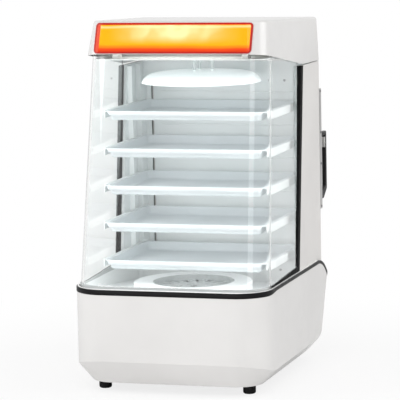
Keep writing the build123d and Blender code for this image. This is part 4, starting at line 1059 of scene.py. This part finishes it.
class STEAMER_OT_door(bpy.types.Operator):
    """Finish the rear door, its handle, hinges and catch"""

    bl_idname = "steamer.door"
    bl_label = "Finish the Rear Door"

    def execute(self, context):
        make_finishes(context)
        panel = round_edges(merged_copy("rounded_door", "door_panel"), settings(context)[2].edge_round)
        dress(panel, "column paint", "door", "door_panel")
        paint("liner enamel", "door_liner")
        paint("black rubber", "door_seal")
        paint("satin steel", "door_edge_strip", "hinge_fixed_leaves", "hinge_door_leaves", "catch_plate")
        paint("bright steel", "hinge_pins")
        hardware = settings(context)[2]
        screw_heads("strip_screw_heads", "strip_screws", Vector((1, 0, 0)), hardware.screw_radius, "door")
        self.shape_handle()
        paint("magnet black", "door_magnet")
        return {"FINISHED"}

    def shape_handle(self):
        """Rounded black handle with a pale fixing plate on the inner face of its grip."""
        handle = round_edges(merged_copy("rounded_handle", "door_handle"), 1.6 * MM, 4)
        dress(handle, "handle plastic", "door", "door_handle")
        low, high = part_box("door_handle")
        grip_depth, side_gap, sheet, sunk = 8.5 * MM, 0.6 * MM, 1.0 * MM, 0.1 * MM
        foot_drop, head_drop, plate_round = 33.0 * MM, 12.0 * MM, 0.35 * MM
        face = high.y - grip_depth + sunk
        plate_low = Vector((low.x + side_gap, face - sheet, high.z - foot_drop))
        plate_high = Vector((high.x - side_gap, face, high.z - head_drop))
        dress(small_plate("handle_plate", plate_low, plate_high, plate_round), "satin steel", "door")


class STEAMER_OT_controls(bpy.types.Operator):
    """Finish the switch, dial, pilot lamp and cable gland"""

    bl_idname = "steamer.controls"
    bl_label = "Finish the Controls"

    def execute(self, context):
        make_finishes(context)
        paint("control plastic", "switch_bezel", "power_rocker", "temperature_dial", "cable_gland")
        paint("amber lens", "pilot_lamp")
        outward = Vector((0, math.cos(WALL_LEAN), -math.sin(WALL_LEAN)))
        upward = Vector((0, math.sin(WALL_LEAN), math.cos(WALL_LEAN)))
        length = settings(context)[2].control_mark
        self.mark_dial(outward, upward, length)
        self.mark_rocker(outward, upward, length)
        return {"FINISHED"}

    def mark_rocker(self, outward, upward, length):
        """White line on the half of the rocker that stands out when it is off."""
        low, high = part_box("power_rocker")
        profile = {
            (round(outward.dot(corner.co), 6), round(upward.dot(corner.co), 6))
            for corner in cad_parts["power_rocker"].data.vertices
        }
        face = sorted(sorted(profile, reverse=True)[:3], key=lambda corner: corner[1])
        valley, crest = (
            Vector(((low.x + high.x) / 2, 0, 0)) + outward * away + upward * level
            for away, level in face[1:]
        )
        along = (crest - valley).normalized()
        across = Vector((1, 0, 0)).cross(along)
        mark = made_by(
            tick_tree(), "rocker_mark", [(valley + crest) / 2], length, "mark white",
            facing=[across if across.dot(outward) > 0 else -across], along=[along],
        )
        dress(mark, None, "rocker")

    def mark_dial(self, outward, upward, length):
        """Marks on the leaning rear wall along the dial's travel, and a pointer on its ridge."""
        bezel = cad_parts["switch_bezel"].data
        wall = min(outward.dot(corner.co) for corner in bezel.vertices)
        low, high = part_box("temperature_dial")
        width = high.x - low.x
        centre = (low + high) / 2
        centre += outward * (wall - outward.dot(centre))
        travel, gaps, clearance = math.radians(270), 10, 1.5 * MM
        spots, ways = [], []
        for step in range(gaps + 1):
            angle = travel * step / gaps
            way = Vector((math.sin(angle), 0, 0)) + upward * math.cos(angle)
            spots.append(centre + way * (width / 2 + clearance + length / 2))
            ways.append(way)
        marks = made_by(
            tick_tree(), "dial_marks", spots, length, "mark grey", facing=[outward] * len(spots), along=ways,
        )
        dress(marks, None, "base")
        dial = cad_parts["temperature_dial"].data
        ridge = max(outward.dot(corner.co) for corner in dial.vertices)
        spot = centre + outward * (ridge - wall) + upward * width * 0.22
        line = made_by(
            tick_tree(), "dial_pointer", [spot], width * 0.24, "mark white",
            facing=[outward], along=[upward],
        )
        dress(line, None, "dial")


# Gap between a tray and the lamp under it, and the point that the camera faces
LAMP_GAP = 2.5 * MM
TARGET_SIDE, TARGET_DEPTH, TARGET_LEVEL = 7.45 * MM, 211.1 * MM, 338.9 * MM


class STEAMER_OT_stage(bpy.types.Operator):
    """Set the floor, the lamps, the sky and the camera"""

    bl_idname = "steamer.stage"
    bl_label = "Set the Stage"

    def execute(self, context):
        stage = settings(context)[3]
        scene = context.scene
        scene.view_settings.view_transform = "Standard"
        self.lay_floor()
        self.light_sky(scene, stage.sky_level)
        self.hang_lamp("key lamp", (-0.5, -4.0, 0.46), (0.0, 0.0, 0.34), (3.8, 0.86), stage.key_power)
        self.hang_lamp("top lamp", (0.5, -2.3, 3.0), (0.0, -0.1, 0.25), (1.6, 1.2), stage.top_power)
        self.hang_lamp("left lamp", (-3.0, -1.2, 2.0), (0.0, -0.1, 0.3), (2.2, 2.0), stage.left_power)
        self.hang_lamp("bend lamp", (2.5, -2.35, 0.95), (0.0, -0.1, 0.35), (1.2, 1.0), stage.bend_power)
        self.hang_lamp("side lamp", (3.2, 0.1, 2.1), (0.0, -0.1, 0.3), (2.2, 2.0), stage.side_power)
        for number in TRAYS:
            low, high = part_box(f"tray_{number}")
            middle, size = (low.y + high.y) / 2, (high.x - low.x, high.y - low.y)
            place = (0.0, middle, low.z - LAMP_GAP)
            self.hang_lamp(f"chamber lamp {number}", place, (0.0, middle, 0.0), size, stage.chamber_power)
        self.point_camera(scene, stage)
        return {"FINISHED"}

    def lay_floor(self):
        """Wide floor that turns pure white away from the steamer and keeps its shadow."""
        shape = bmesh.new()
        bmesh.ops.create_circle(shape, cap_ends=True, segments=96, radius=14.0)
        floor = finished("floor", shape)
        tree, shader, place = blank_finish("pale floor")
        set_inputs(shader, Base_Color=(0.90, 0.90, 0.90, 1.0), Roughness=0.7)
        glow = tree.nodes.new("ShaderNodeEmission")
        far = tree.nodes.new("ShaderNodeVectorMath")
        far.operation = "LENGTH"
        tree.links.new(place, far.inputs[0])
        white = remapped(tree, far.outputs["Value"], 0.25, 0.95, 0.80, 1.0, eased_ends=True)
        seen = seen_by(tree, "Is Camera Ray", "Is Transmission Ray")
        keep = calculated(tree, "MULTIPLY", seen, white)
        end = tree.nodes["Material Output"]
        mix_surfaces(tree, keep, shader.outputs["BSDF"], glow.outputs["Emission"], end)
        floor.data.materials.append(bpy.data.materials["pale floor"])

    def light_sky(self, scene, level):
        """Even soft light, and a white backdrop for the camera, for gloss and through glass."""
        world = bpy.data.worlds.new("white sky")
        scene.world = world
        world.use_nodes = True
        tree = world.node_tree
        soft = tree.nodes["Background"]
        white = tree.nodes.new("ShaderNodeBackground")
        for light, strength in ((soft, level), (white, 1.0)):
            set_inputs(light, Color=(1.0, 1.0, 1.0, 1.0), Strength=strength)
        seen = seen_by(tree, "Is Camera Ray", "Is Transmission Ray", "Is Glossy Ray")
        end = tree.nodes["World Output"]
        mix_surfaces(tree, seen, soft.outputs["Background"], white.outputs["Background"], end)

    def hang_lamp(self, name, place, aim, size, power):
        """Soft rectangular lamp that faces its aim."""
        light = bpy.data.lights.new(name, "AREA")
        light.shape = "RECTANGLE"
        light.size, light.size_y = size
        light.energy = power
        lamp = bpy.data.objects.new(name, light)
        bpy.context.scene.collection.objects.link(lamp)
        lamp.location = place
        lamp.rotation_euler = (Vector(aim) - Vector(place)).to_track_quat("-Z", "Y").to_euler()

    def point_camera(self, scene, stage):
        """Camera at the fitted place, with the fitted long lens."""
        lens = bpy.data.cameras.new("camera")
        lens.sensor_width = 36.0
        lens.lens = 223.4
        lens.shift_x = 0.0006
        lens.shift_y = 0.0018
        lens.clip_end = 60.0
        camera = bpy.data.objects.new("camera", lens)
        scene.collection.objects.link(camera)
        turn, rise, roll = stage.azimuth, stage.elevation, stage.roll
        target = Vector((TARGET_SIDE, FRONT + TARGET_DEPTH, TARGET_LEVEL))
        ahead = Vector((-math.sin(turn) * math.cos(rise), math.cos(turn) * math.cos(rise), -math.sin(rise)))
        right = Vector((math.cos(turn), math.sin(turn), 0.0))
        up = right.cross(ahead)
        level_right = math.cos(roll) * right + math.sin(roll) * up
        level_up = math.cos(roll) * up - math.sin(roll) * right
        axes = Matrix((level_right, level_up, -ahead)).transposed().to_4x4()
        axes.translation = target - ahead * stage.distance
        camera.matrix_world = axes
        scene.camera = camera


class STEAMER_PT_dresser(bpy.types.Panel):
    """Lists the steamer's sizes, colours and steps"""

    bl_label = "Steamer"
    bl_idname = "STEAMER_PT_dresser"
    bl_space_type = "VIEW_3D"
    bl_region_type = "UI"
    bl_category = "Steamer"

    def draw(self, context):
        layout = self.layout
        for group in settings(context):
            box = layout.box()
            for name in group.__annotations__:
                box.prop(group, name)
        for step in steps:
            layout.operator(step.bl_idname)


groups = (SteamerFinishes, SteamerGlass, SteamerHardware, SteamerStage)
steps = (
    STEAMER_OT_base,
    STEAMER_OT_trim,
    STEAMER_OT_glazing,
    STEAMER_OT_column,
    STEAMER_OT_hood,
    STEAMER_OT_trays,
    STEAMER_OT_door,
    STEAMER_OT_controls,
    STEAMER_OT_stage,
)


def register():
    for part in (*groups, *steps, STEAMER_PT_dresser):
        bpy.utils.register_class(part)
    bpy.types.Scene.steamer_finishes = bpy.props.PointerProperty(type=SteamerFinishes)
    bpy.types.Scene.steamer_glass = bpy.props.PointerProperty(type=SteamerGlass)
    bpy.types.Scene.steamer_hardware = bpy.props.PointerProperty(type=SteamerHardware)
    bpy.types.Scene.steamer_stage = bpy.props.PointerProperty(type=SteamerStage)


def unregister():
    del bpy.types.Scene.steamer_stage
    del bpy.types.Scene.steamer_hardware
    del bpy.types.Scene.steamer_glass
    del bpy.types.Scene.steamer_finishes
    for part in reversed((*groups, *steps, STEAMER_PT_dresser)):
        bpy.utils.unregister_class(part)


def main():
    """Runs every step in order."""
    register()
    for step in steps:
        group, action = step.bl_idname.split(".")
        getattr(getattr(bpy.ops, group), action)()


if __name__ == "__main__":
    main()
